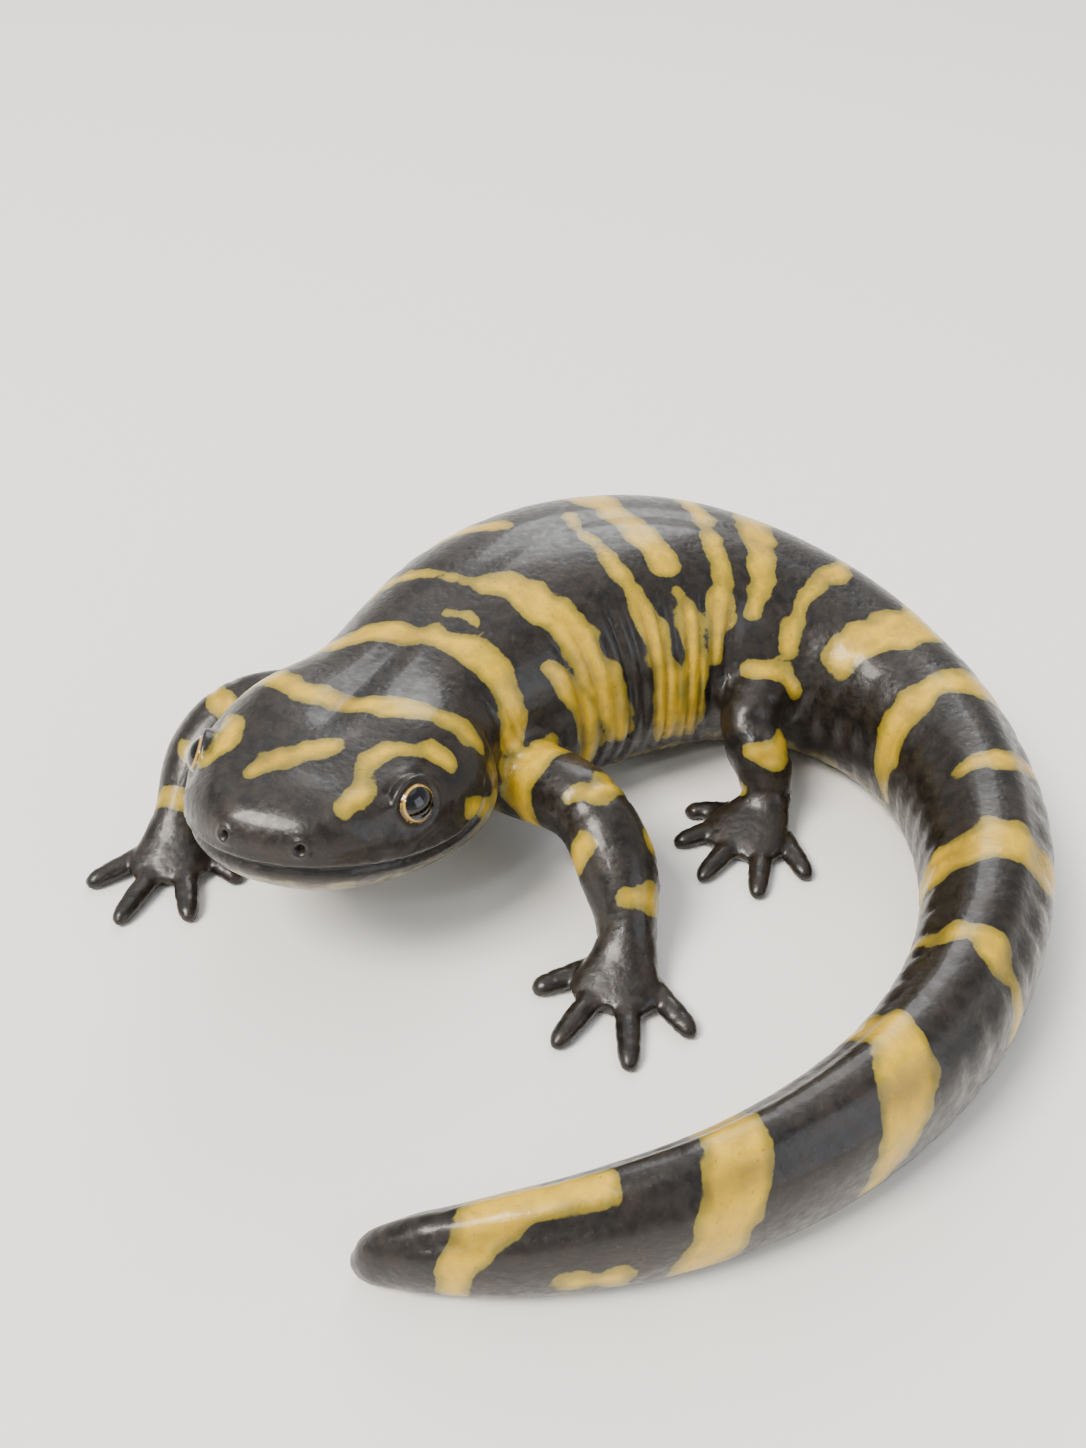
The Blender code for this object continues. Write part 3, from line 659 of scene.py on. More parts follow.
def flank_relief(places):
    """Costal grooves with rounded folds between them, and the furrow along the back."""
    turn = np.abs(places.degrees)
    lean = 1.1 * np.cos(np.radians(turn)) + 0.25 * np.sin(places.station * 1.7)
    phase = (places.station - FIRST_GROOVE + lean) / GROOVE_SPACING
    number = np.round(phase)
    distance = (phase - number) * GROOVE_SPACING
    strength = 0.68 + 0.32 * np.sin(number * 2.3 + np.sign(places.out))
    counted = (number >= 0) & (number < GROOVE_COUNT)
    grooves = np.where(counted, 0.42 * hump(distance, 0.55) * strength, 0.0)
    between_limbs = window((46.0, 51.0), (93.0, 98.0), places.station)
    folds = 0.07 * np.cos((phase + 0.5) * 2.0 * math.pi) * between_limbs
    on_side = window((30.0, 58.0), (124.0, 150.0), turn)
    along_back = window((34.0, 44.0), (104.0, 116.0), places.station) * (places.height > 0.0)
    back_furrow = 0.26 * hump(places.out, 1.9) * along_back
    return (folds - grooves) * on_side - back_furrow


def tail_relief(places):
    """Soft upright folds on the tail's sides, fading to the rear, and the line of its side."""
    turn = np.abs(places.degrees)
    lean = 0.6 * np.cos(np.radians(turn) * 2.0)
    phase = (places.station - TAIL_FOLD_START + lean) / TAIL_FOLD_SPACING
    distance = (phase - np.round(phase)) * TAIL_FOLD_SPACING
    folds = 0.26 * hump(distance, 0.75) * window((30.0, 55.0), (120.0, 146.0), turn)
    side_line = 0.55 * hump(turn - 38.0, 15.0)
    return -(folds * window((104.0, 112.0), (168.0, 206.0), places.station)
             + side_line * window((120.0, 140.0), (235.0, 243.0), places.station))


def limb_relief(points, limb):
    """Creases across elbow or knee and wrist or ankle."""
    stops = np.linspace(0.0, limb.length, LIMB_SAMPLES)
    centres = limb.frames(stops)[0]
    away = np.linalg.norm(points[:, None, :] - centres[None, :, :], axis=2)
    place = stops[np.argmin(away, axis=1)]
    return -sum(depth * hump(place - limb.stops[joint] - beyond, half_width)
                for joint, beyond, depth, half_width in LIMB_CREASES)


def digit_relief(points, limb):
    """Fine creases across the knuckles."""
    relief = np.zeros(len(points))
    for root, direction, length in limb.digit_lines():
        ahead = (points - root) @ direction
        beside = np.linalg.norm((points - root)[:, :2] - np.outer(ahead, direction[:2]), axis=1)
        near = (beside < DIGIT_REACH) & (ahead > length * DIGIT_FREE) & (ahead < length)
        lines = sum(hump(ahead - share * length, KNUCKLE_WIDTH) for share in KNUCKLES)
        relief -= np.where(near, KNUCKLE_DEPTH * lines, 0.0)
    return relief


def lid_share(points, side):
    """How far out from the middle of the eye's opening points are, 1 at the lids' edge, with
    their distance and direction from the eye's centre, and how far they lie along the gaze."""
    centre, along, across, gaze = (np.array(item) for item in eye_axes(side))
    distance = distances(points, centre)
    unit = (points - centre) / np.maximum(distance, 1e-6)[:, None]
    facing = unit @ gaze
    length = unit @ along
    rise = unit @ across
    aside = np.maximum(np.hypot(length, rise), 1e-6)
    angle = np.degrees(np.arccos(np.clip(facing, -1.0, 1.0)))
    to_corner, to_top, to_bottom = LID_OPENING
    half_high = np.where(rise > 0.0, to_top, to_bottom)
    share = angle / aside * np.hypot(length / to_corner, rise / half_high)
    return share, distance, unit, facing


def open_lids(points, side):
    """Draw the skin over an eye in behind the eyeball."""
    centre = np.array(eye_axes(side)[0])
    share, distance, unit, facing = lid_share(points, side)
    in_opening = 1.0 - smooth_step(0.88, 1.04, share)
    target = LID_RADIUS - 0.06 - SOCKET_DEPTH * in_opening
    on_lids = 1.0 - smooth_step(LID_RADIUS + 0.1, LID_RADIUS + 0.9, distance)
    over_eye = (1.0 - smooth_step(1.0, 1.3, share)) * (distance < LID_RADIUS + 2.0)
    blend = (np.maximum(on_lids, over_eye) * smooth_step(0.0, 0.25, facing))[:, None]
    return points * (1.0 - blend) + (centre + unit * target[:, None]) * blend


def raise_lids(points, side):
    """A rounded rim on both lids, and the fold behind them, deeper over the eye."""
    share, distance, unit, facing = lid_share(points, side)
    rim = 0.20 * hump(share - 1.15, 0.12)
    fold = (0.16 + 0.10 * smooth_step(-0.5, 0.6, unit[:, 2])) * hump(share - 1.56, 0.15)
    near = (distance < LID_RADIUS + 1.6) & (facing > -0.3)
    return points + unit * np.where(near, rim - fold, 0.0)[:, None]


def open_nostrils(points, normals):
    """Small round pits with a soft rim."""
    relief = np.zeros(len(points))
    for side in SIDES:
        nearest = points[np.argmin(distances(points, place_on_body(*NOSTRIL_PLACE, side)))]
        away = distances(points, nearest)
        rim = 0.16 * hump(away - 0.85, 0.32)
        pit = 0.95 * hump(away, 0.40)
        relief += rim - pit
    return points + normals * relief[:, None]


def sculpt(bm, limbs):
    """Shape the skin, and return the strength of the painted shade in its creases and hollows at
    each vertex.
    """
    normals = even_normals(bm)
    points = coordinates(bm)
    places = Places(points)
    first, last = LIMB_STATIONS
    on_limb = smooth_step(1.05, 1.25, places.depth)
    on_limb *= (places.station > first) & (places.station < last)
    relief = head_relief(places) + mouth_relief(places) + throat_relief(places)
    relief += flank_relief(places) + tail_relief(places)
    relief *= 1.0 - on_limb
    for limb in limbs.values():
        near = distances(points, limb.wrist) < limb.length
        relief += limb_relief(points, limb) * on_limb * near + digit_relief(points, limb)
    relief[points[:, 2] < SOLE_HEIGHT] = 0.0
    # painted shade: the deeper a sculpted hollow, the darker its colour is painted
    painted_crease_shade = np.clip(-relief / FULL_SHADE_DEPTH, 0.0, 1.0)
    points = open_nostrils(points + normals * relief[:, None], normals)
    for side in SIDES:
        points = open_lids(points, side)
    points[:, 2] = np.maximum(points[:, 2], 0.0)
    move_to(bm, points)
    for side in SIDES:
        share, distance, _, _ = lid_share(points, side)
        around = (share > 1.12) & (distance < LID_RADIUS + LID_SURROUND)
        smooth(bm, SCULPTED_LID_PASSES, around)
    smooth(bm, SCULPTED_LIP_PASSES, near_lips(points, SCULPTED_LIP_REACH))
    points = coordinates(bm)
    for side in SIDES:
        points = raise_lids(points, side)
    move_to(bm, points)
    return painted_crease_shade


# ------------------------------------------------------------ markings
# Yellow bars and blotches, each a chain of station, degrees and half width in millimetres.
BODY_BARS = (
    # head: crown blotch, brow patches and cheek marks
    ((8.2, -16, 0.9), (10.5, -8, 1.9), (13.2, 4, 2.0), (14.4, 9, 1.3)),
    ((9.5, -44, 1.0), (12.0, -38, 1.9), (14.8, -38, 1.9), (17.0, -46, 1.2)),
    ((6.2, 36, 1.3), (8.2, 34, 1.5), (10.2, 31, 1.2), (12.2, 27, 1.1), (15.0, 27, 1.3),
     (18.0, 36, 1.4), (19.5, 50, 1.2)),
    ((19.0, 84, 1.1), (21.5, 90, 1.5), (24.5, 96, 1.3)),
    ((19.5, -80, 1.3), (22.5, -92, 1.5), (23.5, -104, 1.1)),
    # back of the head and nape
    ((22.5, -66, 1.6), (23.5, -40, 2.0), (21.5, -12, 1.7), (22.8, 14, 1.8), (25.5, 40, 2.0),
     (27.5, 60, 1.6)),
    ((31.5, -84, 2.0), (32.0, -50, 2.1), (34.5, -22, 2.1), (37.0, 4, 2.1), (38.4, 30, 2.3),
     (38.0, 58, 2.3), (36.6, 80, 1.9)),
    # trunk
    ((41.5, -96, 2.0), (43.0, -66, 2.1), (45.0, -40, 1.8), (46.6, -18, 1.5), (47.2, -5, 1.1)),
    ((42.0, 6, 0.5), (42.6, 15, 0.8), (42.2, 25, 0.4)),
    ((50.5, -104, 2.3), (52.0, -72, 2.5), (54.5, -44, 2.4), (57.8, -24, 2.0), (59.6, -14, 1.3)),
    ((47.6, 0, 1.1), (49.2, 13, 2.1), (51.5, 30, 2.6), (53.8, 60, 2.7), (56.5, 84, 2.6),
     (59.0, 99, 2.0)),
    ((46.4, 55, 0.9), (48.0, 67, 1.5), (50.5, 81, 1.8), (52.2, 97, 2.0), (52.0, 114, 1.8)),
    ((62.0, -92, 1.5), (62.8, -70, 2.0), (63.0, -48, 1.4)),
    ((69.0, -108, 2.3), (70.0, -70, 2.8), (71.5, -36, 3.0), (73.0, -8, 2.9), (75.0, 14, 2.6),
     (77.0, 31, 2.0)),
    ((67.0, -6, 0.5), (66.6, 15, 1.1), (67.6, 40, 1.6), (71.0, 66, 2.2), (73.6, 88, 2.6),
     (73.6, 108, 2.2)),
    ((78.6, 43, 1.3), (80.4, 56, 1.9), (82.0, 73, 2.1), (82.4, 92, 2.2), (81.2, 110, 1.9)),
    ((79.5, -100, 1.9), (81.0, -70, 2.0), (83.0, -36, 1.5), (85.5, -5, 1.7), (88.0, 25, 1.7),
     (89.0, 50, 1.8), (88.8, 70, 1.6)),
    ((89.0, -104, 2.2), (90.5, -62, 2.9), (92.0, -20, 3.1), (94.0, 10, 2.3), (95.6, 30, 1.5),
     (96.2, 46, 0.7)),
    ((101.0, -92, 1.6), (102.5, -52, 2.0), (104.0, -14, 1.8), (103.6, 22, 1.5), (104.6, 54, 1.5)),
    # tail
    ((112.0, -100, 2.6), (114.5, -54, 3.8), (116.5, -15, 3.8), (115.2, 20, 3.1), (113.2, 50, 2.1)),
    ((127.0, -96, 2.4), (128.0, -40, 3.0), (127.4, 10, 2.6), (129.0, 60, 2.6), (131.0, 108, 1.9)),
    ((139.0, -66, 1.5), (141.0, -28, 1.9), (142.0, 8, 1.6), (143.4, 36, 1.0)),
    ((156.0, -112, 2.2), (156.0, -50, 2.9), (155.0, 0, 2.9), (157.0, 46, 2.8), (158.5, 100, 2.4)),
    ((173.0, -100, 1.3), (172.4, -40, 1.8), (170.6, 0, 1.5), (171.4, 40, 1.2), (171.0, 74, 1.2)),
    ((195.0, -104, 2.0), (193.0, -84, 3.2), (190.0, -36, 3.5), (187.6, 8, 3.0), (188.0, 54, 2.6),
     (189.0, 110, 2.0)),
    ((213.0, -112, 2.9), (210.6, -62, 3.6), (208.4, -10, 3.2), (207.6, 50, 2.8),
     (208.0, 120, 2.2)),
    ((234.4, -108, 1.9), (234.0, -80, 1.9), (233.4, -50, 2.2), (232.0, -20, 2.9),
     (230.5, 10, 3.7), (230.0, 45, 4.0), (231.0, 90, 3.2)),
    ((229.0, 8, 2.8), (225.0, 14, 2.7), (221.8, 6, 2.3), (220.6, 0, 1.6)),
    ((221.0, -102, 1.9), (224.0, -100, 1.8)),
)
# Millimetres along the limb, degrees from its upper side, half width.
LIMB_BARS = {
    "left_front": (((12.6, -90, 1.6), (12.8, -20, 2.4), (12.8, 50, 2.5), (13.4, 120, 2.1)),
                   ((20.4, -50, 1.8), (21.2, -5, 2.2), (20.0, 35, 1.4)),
                   ((25.5, 55, 1.0), (27.0, 85, 1.6), (26.4, 125, 1.3)),
                   ((26.6, -100, 1.4), (27.4, -60, 1.7)),
                   ((33.4, -90, 1.5), (33.2, -40, 2.0), (32.6, 5, 1.3))),
    "right_front": (((11.6, -80, 1.6), (12.4, -10, 2.3), (12.0, 70, 1.8)),
                    ((20.6, -80, 1.6), (21.8, -20, 2.1), (21.2, 40, 1.5)),
                    ((27.4, -60, 1.3), (28.8, -10, 1.7)),
                    ((34.8, -70, 1.1), (35.4, 10, 1.5), (34.6, 90, 1.2))),
    "left_hind": (((9.4, -60, 1.3), (10.2, 0, 2.0), (9.8, 60, 1.4)),
                  ((18.4, -45, 1.4), (19.6, 5, 2.2), (19.0, 45, 1.5)),
                  ((24.6, 60, 0.9), (25.2, 100, 1.4))),
    "right_hind": (((10.0, -70, 1.3), (10.5, 0, 2.0), (10.0, 70, 1.4)),
                   ((18.0, -60, 1.7), (19.0, 10, 2.2)),
                   ((25.0, 60, 1.5), (26.0, 120, 1.6)),
                   ((33.0, -10, 1.4), (34.5, 20, 1.2))),
}
BEADS = 24                       # to each length of a chain
LEAST_BEAD = 0.3                 # half width
MARKING_REACH = 6.0              # no point is further outside the markings than this


def bar_beads(chain, on_surface):
    """Beads along a chain, as points on the skin and half widths."""
    lengths = len(chain) - 1
    stops = [(number, *row) for number, row in enumerate(chain)]
    along = np.linspace(0.0, lengths, BEADS * lengths + 1)
    first, second, width = smooth_curve(stops, along).T
    return on_surface(first, second), np.maximum(width, LEAST_BEAD)


def marking_depth(points, limbs):
    """How far inside the nearest yellow marking each point is, negative outside."""
    beads = [bar_beads(chain, skin_points) for chain in BODY_BARS]
    for name, chains in LIMB_BARS.items():
        beads += [bar_beads(chain, limbs[name].skin_points) for chain in chains]
    depth = np.full(len(points), -MARKING_REACH)
    for centres, widths in beads:
        low = centres.min(axis=0) - MARKING_REACH
        high = centres.max(axis=0) + MARKING_REACH
        near = np.flatnonzero(np.all((points > low) & (points < high), axis=1))
        for part in parts(len(near)):
            some = near[part]
            away = np.linalg.norm(points[some, None, :] - centres[None, :, :], axis=2)
            depth[some] = np.maximum(depth[some], (widths[None, :] - away).max(axis=1))
    return depth


def store(mesh, name, values):
    attribute = mesh.attributes.new(name, "FLOAT", "POINT")
    attribute.data.foreach_set("value", np.asarray(values, dtype=np.float32))


# ------------------------------------------------------------ materials
def linear(hex_colour):
    """sRGB hex to a linear RGBA colour."""
    channels = [int(hex_colour[start:start + 2], 16) / 255.0 for start in (1, 3, 5)]
    return tuple(value / 12.92 if value <= 0.04045 else ((value + 0.055) / 1.055) ** 2.4
                 for value in channels) + (1.0,)


def add_node(tree, kind, links=None, **settings):
    """Add a node; links give its inputs values or other nodes' outputs."""
    node = tree.nodes.new(kind)
    for name, value in settings.items():
        setattr(node, name, value)
    for socket, value in (links or {}).items():
        if isinstance(value, bpy.types.NodeSocket):
            tree.links.new(value, node.inputs[socket])
        else:
            node.inputs[socket].default_value = value
    return node


def per_metre(millimetres):
    """Texture scale for features of this size."""
    return 1.0 / (millimetres * MM)


def new_material(name):
    material = bpy.data.materials.new(name)
    material.use_nodes = True
    material.node_tree.nodes.clear()
    return material, material.node_tree


# Noises of the skin: name, size of their features in millimetres, detail, roughness.
SKIN_NOISES = (
    ("bar_edge", 4.6, 1.0, 0.5), ("fine_edge", 0.9, 2.0, 0.5), ("mottle", 2.6, 4.0, 0.6),
    ("grain", 0.5, 3.0, 0.6), ("belly_edge", 5.0, 3.0, 0.5), ("belly_clouds", 3.4, 3.0, 0.5),
    ("wrinkles", 1.3, 3.0, 0.5),
)
# Noises that shift an edge: noise, its low and high, and millimetres or share at each.
SKIN_SHIFTS = (
    ("bar_edge", 0.25, 0.75, -0.95, 0.95), ("fine_edge", 0.25, 0.75, -0.15, 0.15),
    ("belly_edge", 0.30, 0.70, -0.35, 0.35),
)
# Smooth spreads: name, value that each follows, its low and high, and the result at each.
SKIN_SPREADS = (
    ("bar", "bar_depth", -0.14, 0.16, 0.0, 1.0), ("bar_core", "bar_depth", 0.10, 1.60, 0.0, 1.0),
    ("brown", "mottle", 0.35, 0.70, 0.0, 1.0), ("pale_specks", "grain", 0.60, 0.76, 0.0, 0.35),
    ("ochre", "mottle", 0.30, 0.66, 0.55, 0.0), ("dark_specks", "grain", 0.62, 0.74, 0.0, 0.55),
    ("olive", "belly_clouds", 0.40, 0.62, 0.0, 1.0), ("belly", "belly", 0.35, 0.75, 0.0, 1.0),
    # painted shade of the mouth's slit: full within 0.16 mm of its line, none beyond 0.34 mm
    ("lip_slit_shade", "lip_gap", 0.16, 0.34, 1.0, 0.0), ("roughness", "wrinkles", 0.30, 0.70, 0.30, 0.50),
)
# Mixes in order: result, share of the second, first and second, each an sRGB colour or a result.
SKIN_MIXES = (
    ("ground", "brown", "#120f0c", "#241d16"),
    ("ground", "pale_specks", "ground", "#4a4030"),
    ("yellow", "bar_core", "#766a1c", "#cba318"),
    ("yellow", "ochre", "yellow", "#8f761c"),
    ("yellow", "dark_specks", "yellow", "#4b3a16"),
    ("skin", "bar", "ground", "yellow"),
    # the belly is dull olive grey, clouded with the ground colour
    ("under", "olive", "#3b3421", "#776e3f"),
    ("skin", "belly", "skin", "under"),
    # painted shade: creases, grooves and hollows are darkened towards near black
    ("skin", "crease_shade", "skin", "#0c0907"),
    # painted shade: where the closed lips meet, the dark slit between them is painted as a thin
    # near-black line
    ("skin", "lip_slit_shade", "skin", "#060403"),
)
# Glands are round pebbles, drawn larger than real ones so that they show.
GLAND_SIZE = 0.85
RELIEF_HEIGHT = 0.22             # of glands, wrinkles and grain together


def moist_skin():
    """Amphibian skin: living, glandular and always wet.  The eye reads soft black-brown flesh
    under a thin film of slime, with yellow bars whose edges are ragged and olive."""
    material, tree = new_material("moist_salamander_skin")
    place = add_node(tree, "ShaderNodeTexCoord").outputs["Object"]
    values = {}
    for name in ("bar_depth", "belly", "crease_shade", "lip_gap"):
        values[name] = add_node(tree, "ShaderNodeAttribute", attribute_name=name).outputs["Fac"]
    for name, size, detail, roughness in SKIN_NOISES:
        values[name] = add_node(tree, "ShaderNodeTexNoise",
                                {"Vector": place, "Scale": per_metre(size), "Detail": detail,
                                 "Roughness": roughness}).outputs["Fac"]
    for name, low, high, at_low, at_high in SKIN_SHIFTS:
        values[name] = add_node(tree, "ShaderNodeMapRange",
                                {"Value": values[name], "From Min": low, "From Max": high,
                                 "To Min": at_low, "To Max": at_high}).outputs["Result"]

    # the bars' outline is roughened by coarse and fine noise, and the belly's is clouded
    for name, shift in (("bar_edge", "fine_edge"), ("bar_depth", "bar_edge"),
                        ("belly", "belly_edge")):
        values[name] = add_node(tree, "ShaderNodeMath", {0: values[name], 1: values[shift]},
                                operation="ADD").outputs[0]
    for name, source, low, high, at_low, at_high in SKIN_SPREADS:
        values[name] = add_node(tree, "ShaderNodeMapRange",
                                {"Value": values[source], "From Min": low, "From Max": high,
                                 "To Min": at_low, "To Max": at_high},
                                interpolation_type="SMOOTHSTEP").outputs["Result"]

    # painted shade: creases and hollows are darkened by a share; the glands' distance grows away
    # from each one's middle, so their share of the relief is negative
    values["glands"] = add_node(tree, "ShaderNodeTexVoronoi",
                                {"Vector": place, "Scale": per_metre(GLAND_SIZE),
                                 "Randomness": 0.9}, feature="SMOOTH_F1").outputs["Distance"]
    for name, share in (("crease_shade", 0.45), ("glands", -0.55), ("grain", 0.35)):
        values[name] = add_node(tree, "ShaderNodeMath", {0: values[name], 1: share},
                                operation="MULTIPLY").outputs[0]

    # the glands stand over fine wrinkles and grain
    relief = values["glands"]
    for name in ("wrinkles", "grain"):
        relief = add_node(tree, "ShaderNodeMath", {0: relief, 1: values[name]},
                          operation="ADD").outputs[0]
    bump = add_node(tree, "ShaderNodeBump",
                    {"Strength": 0.40, "Distance": RELIEF_HEIGHT * MM,
                     "Height": relief}).outputs["Normal"]

    colours = {}
    for name, share, first, second in SKIN_MIXES:
        first, second = (linear(item) if item.startswith("#") else colours[item]
                         for item in (first, second))
        colours[name] = add_node(tree, "ShaderNodeMix", {0: values[share], 6: first, 7: second},
                                 data_type="RGBA").outputs[2]
    shader = add_node(tree, "ShaderNodeBsdfPrincipled",
                      {"Base Color": colours["skin"], "Roughness": values["roughness"],
                       "IOR": 1.40, "Coat Weight": 0.35, "Coat Roughness": 0.12, "Coat IOR": 1.34,
                       "Normal": bump})
    add_node(tree, "ShaderNodeOutputMaterial", {"Surface": shader.outputs["BSDF"]})
    return material


# Colour of the eye from the middle of the pupil, at 0, to the eyeball's rim, at 1.
IRIS_STOPS = ((0.0, "#020202"), (0.43, "#020202"), (0.455, "#a07c2e"), (0.48, "#b8954a"),
              (0.52, "#5a4418"), (0.66, "#3a2a10"), (0.80, "#0d0906"))


def wet_eye():
    """Living eye: a black pupil in a dark bronze iris flecked with gold, under a wet cornea
    that gives one small sharp highlight."""
    material, tree = new_material("wet_salamander_eye")
    look = add_node(tree, "ShaderNodeAttribute", attribute_name="look").outputs["Fac"]
    place = add_node(tree, "ShaderNodeTexCoord").outputs["Object"]
    flecks = add_node(tree, "ShaderNodeTexNoise",
                      {"Vector": place, "Scale": per_metre(0.35), "Detail": 3.0,
                       "Roughness": 0.6}).outputs["Fac"]
    ramp = add_node(tree, "ShaderNodeValToRGB", {"Fac": look})
    elements = ramp.color_ramp.elements
    while len(elements) < len(IRIS_STOPS):
        elements.new(0.5)
    for element, (position, tint) in zip(elements, IRIS_STOPS):
        element.position = position
        element.color = linear(tint)
    # gold flecks lie in the iris, not in the pupil
    in_iris = add_node(tree, "ShaderNodeMapRange",
                       {"Value": look, "From Min": 0.44, "From Max": 0.52}).outputs["Result"]
    in_fleck = add_node(tree, "ShaderNodeMapRange",
                        {"Value": flecks, "From Min": 0.52, "From Max": 0.66}).outputs["Result"]
    share = add_node(tree, "ShaderNodeMath", {0: in_iris, 1: in_fleck},
                     operation="MULTIPLY").outputs[0]
    colour = add_node(tree, "ShaderNodeMix",
                      {0: share, 6: ramp.outputs["Color"], 7: linear("#a5873f")},
                      data_type="RGBA").outputs[2]
    shader = add_node(tree, "ShaderNodeBsdfPrincipled",
                      {"Base Color": colour, "Roughness": 0.12, "IOR": 1.376, "Coat Weight": 1.0,
                       "Coat Roughness": 0.02, "Coat IOR": 1.376})
    add_node(tree, "ShaderNodeOutputMaterial", {"Surface": shader.outputs["BSDF"]})
    return material


def pale_plaster():
    """Matt white plaster, so that the floor is pale and throws no glare."""
    material, tree = new_material("pale_plaster_floor")
    shader = add_node(tree, "ShaderNodeBsdfPrincipled",
                      {"Base Color": linear("#eceae6"), "Roughness": 0.9})
    add_node(tree, "ShaderNodeOutputMaterial", {"Surface": shader.outputs["BSDF"]})
    return material


# ------------------------------------------------------------ pieces
def belly_share(places):
    """1 under the belly and on the lower jaw, 0 on flanks, back and upper lip."""
    under = smooth_step(108.0, 138.0, np.abs(places.degrees))
    jaw = smooth_step(0.5, 2.8, -mouth_offset(places))
    head = 1.0 - smooth_step(20.0, 28.0, places.station)
    return (under + (jaw - under) * head) * (places.depth < 1.2)


def lip_gap(places):
    """Distance from the line of the mouth, and far where there is no mouth."""
    past = np.maximum(places.station - MOUTH_CORNER, 0.0) + 4.0 * (places.depth > 1.2)
    return np.minimum(np.hypot(mouth_offset(places), past), 4.0)


def make_skin(material):
    limbs = {name: Limb(name) for name in LIMBS}
    bm = first_form(limbs)
    painted_crease_shade = sculpt(bm, limbs)
    points = coordinates(bm)
    places = Places(points)
    skin = finished_object("salamander_skin", bm, material)
    store(skin.data, "bar_depth", marking_depth(points, limbs))
    store(skin.data, "belly", belly_share(places))
    # distance from the line of the mouth, for the painted shade of its slit
    store(skin.data, "lip_gap", lip_gap(places))
    # strength of the painted shade in creases and hollows, for the skin's colour
    store(skin.data, "crease_shade", painted_crease_shade)
    return skin


CORNEA_HEIGHT = 0.16
CORNEA_SPREAD = 0.75             # radians from the gaze


def make_eye(name, side, material):
    """An eyeball with a low cornea on the side of the gaze."""
    centre, along, across, gaze = eye_axes(side)
    if along.cross(across).dot(gaze) < 0.0:
        across = -across
    turn = Matrix((along, across, gaze)).transposed()
    bm = bmesh.new()
    bmesh.ops.create_uvsphere(bm, u_segments=72, v_segments=48, radius=1.0)
    looks = []
    for vert in bm.verts:
        angle = math.acos(max(-1.0, min(1.0, vert.co.z)))
        looks.append(angle / (math.pi / 2))
        radius = EYE_RADIUS + CORNEA_HEIGHT * math.exp(-(angle / CORNEA_SPREAD) ** 4)
        vert.co = centre + turn @ (vert.co * radius)
    eye = finished_object(name, bm, material)
    store(eye.data, "look", looks)
    return eye


# ------------------------------------------------------------ stage
FLOOR_FLAT = 1000.0              # the floor is level out to here
FLOOR_BEND = 3200.0              # and bends up over this distance
FLOOR_WALL = 1500.0              # to this height
FLOOR_BEND_STEPS = 28
FLOOR_SIDES = 72
FLOOR_DROP = 0.02                # it lies this far below the soles
CAMERA_PLACE = (-1.9, -131.8, 115.3)
CAMERA_PITCH = 35.7              # degrees down from level, looking along +Y
CAMERA_FOCAL_PIXELS = 1304.0     # in a picture 1448 pixels high
CAMERA_NEAR = 0.005
PICTURE_HEIGHT = 1448.0
SENSOR = 36.0
SKY_TINT = "#e9edf2"
SKY_STRENGTH = 0.62
OVERHEAD_STRENGTH = 0.9
OVERHEAD_WIDTH = 70.0            # degrees across
OVERHEAD_TILT = (-14.0, -10.0)   # degrees about X and Y
# Square soft lights: name, place in metres, watts, metres across, tint.
SOFTBOXES = (
    ("key", (-1.05, -0.66, 1.65), 76.0, 0.80, "#fff8ee"),
    ("fill", (1.80, -1.20, 1.05), 18.0, 1.60, "#eef4ff"),
    ("rim", (0.30, 2.40, 1.80), 44.0, 1.50, "#ffffff"),
    ("spark", (-0.44, -0.80, 0.84), 2.0, 0.10, "#ffffff"),
)


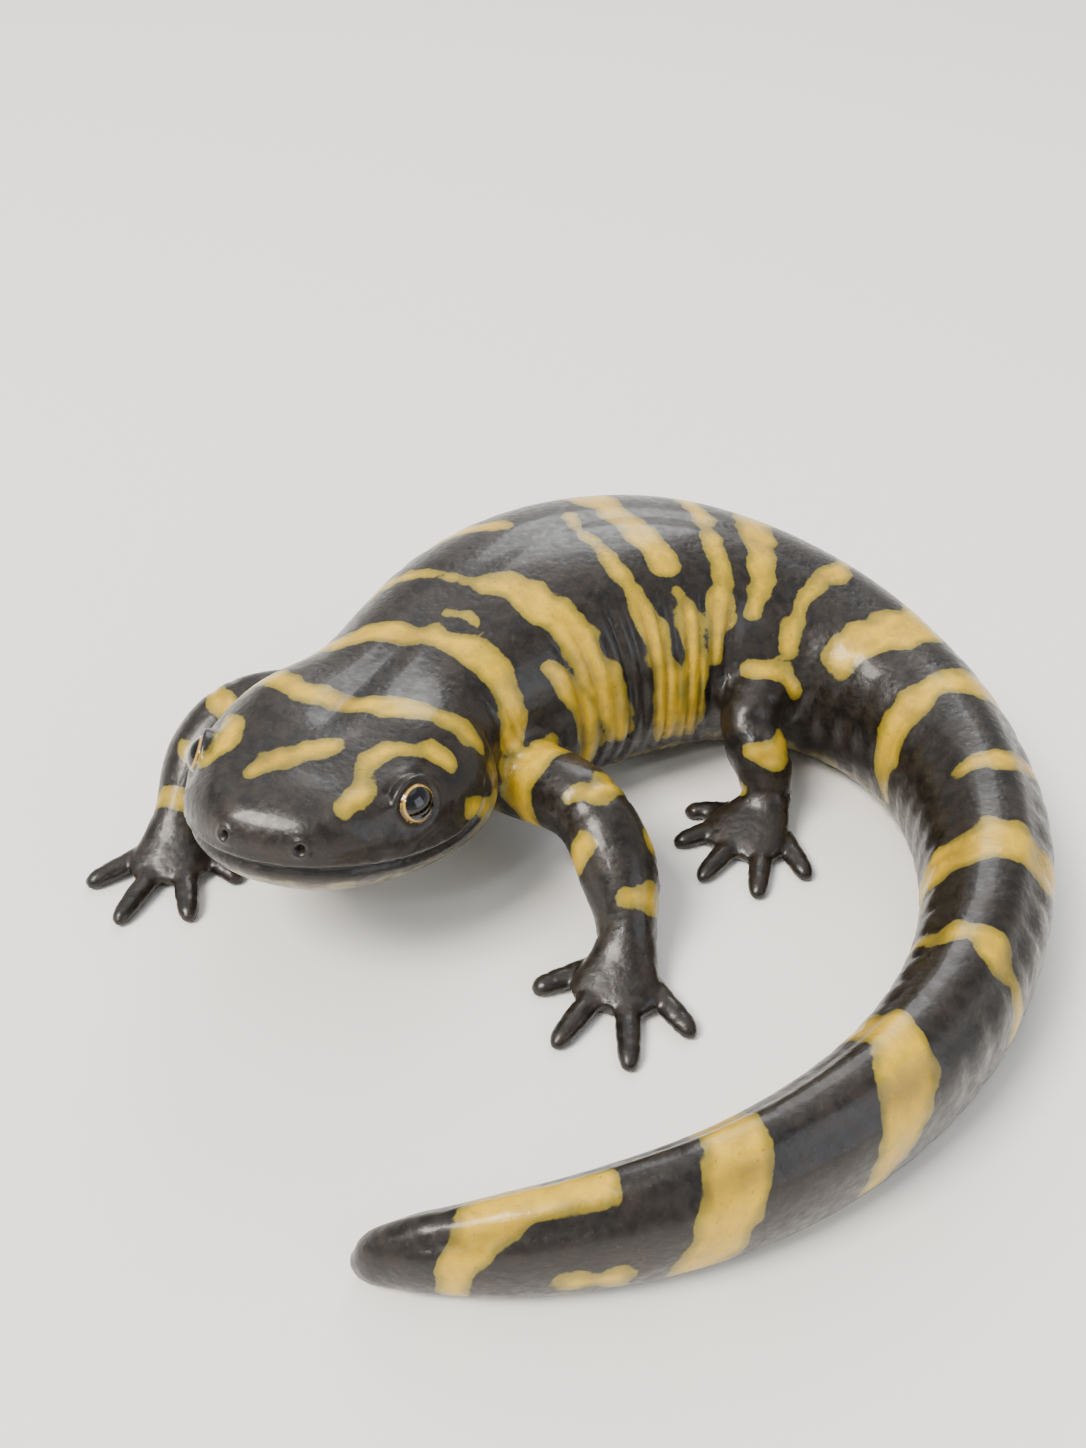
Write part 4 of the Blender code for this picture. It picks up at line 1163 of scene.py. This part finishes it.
def make_floor(material):
    """A round floor that curves up into a low wall far away, so that no view shows its edge."""
    bm = bmesh.new()
    turns = np.linspace(0.0, math.pi / 2, FLOOR_BEND_STEPS)
    outline = [(0.0, 0.0)] + [(FLOOR_FLAT + FLOOR_BEND * math.sin(turn),
                               FLOOR_WALL * (1.0 - math.cos(turn))) for turn in turns]
    verts = [bm.verts.new((out, 0.0, up - FLOOR_DROP)) for out, up in outline]
    edges = [bm.edges.new(pair) for pair in zip(verts, verts[1:])]
    bmesh.ops.spin(bm, geom=verts + edges, cent=(0.0, 0.0, 0.0), axis=(0.0, 0.0, 1.0),
                   angle=2.0 * math.pi, steps=FLOOR_SIDES, use_merge=True)
    bmesh.ops.remove_doubles(bm, verts=bm.verts, dist=1e-3)
    bm.normal_update()
    if next(iter(bm.faces)).normal.z < 0.0:
        bmesh.ops.reverse_faces(bm, faces=bm.faces)
    return finished_object("floor", bm, material)


def make_camera():
    data = bpy.data.cameras.new("camera")
    data.sensor_fit = "AUTO"
    data.sensor_width = SENSOR
    data.lens = CAMERA_FOCAL_PIXELS * SENSOR / PICTURE_HEIGHT
    data.clip_start = CAMERA_NEAR
    camera = bpy.data.objects.new("camera", data)
    camera.location = Vector(CAMERA_PLACE) * MM
    camera.rotation_euler = (math.radians(90.0 - CAMERA_PITCH), 0.0, 0.0)
    bpy.context.scene.collection.objects.link(camera)
    bpy.context.scene.camera = camera


def make_softbox(name, place, power, size, tint):
    """A square soft light aimed at the animal."""
    data = bpy.data.lights.new(name, "AREA")
    data.shape = "SQUARE"
    data.size = size
    data.energy = power
    data.color = linear(tint)[:3]
    light = bpy.data.objects.new(name, data)
    light.location = place
    light.rotation_euler = (-Vector(place)).to_track_quat("-Z", "Y").to_euler()
    bpy.context.scene.collection.objects.link(light)


def make_overhead_light():
    """A very soft light from overhead, so that the floor stays pale far from the animal."""
    data = bpy.data.lights.new("overhead", "SUN")
    data.energy = OVERHEAD_STRENGTH
    data.angle = math.radians(OVERHEAD_WIDTH)
    light = bpy.data.objects.new("overhead", data)
    light.rotation_euler = (*(math.radians(tilt) for tilt in OVERHEAD_TILT), 0.0)
    bpy.context.scene.collection.objects.link(light)


def make_sky():
    world = bpy.data.worlds.new("studio")
    world.use_nodes = True
    background = world.node_tree.nodes["Background"]
    background.inputs["Color"].default_value = linear(SKY_TINT)
    background.inputs["Strength"].default_value = SKY_STRENGTH
    bpy.context.scene.world = world


make_camera()
make_sky()
for softbox in SOFTBOXES:
    make_softbox(*softbox)
make_overhead_light()

floor = make_floor(pale_plaster())

skin = make_skin(moist_skin())
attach(skin, "root")
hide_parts(*[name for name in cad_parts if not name.startswith("eye_")])

eye_material = wet_eye()
for eye_name, eye_side in (("eye_left", 1), ("eye_right", -1)):
    eyeball = make_eye(eye_name + "_ball", eye_side, eye_material)
    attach(eyeball, "root")
    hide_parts(eye_name)
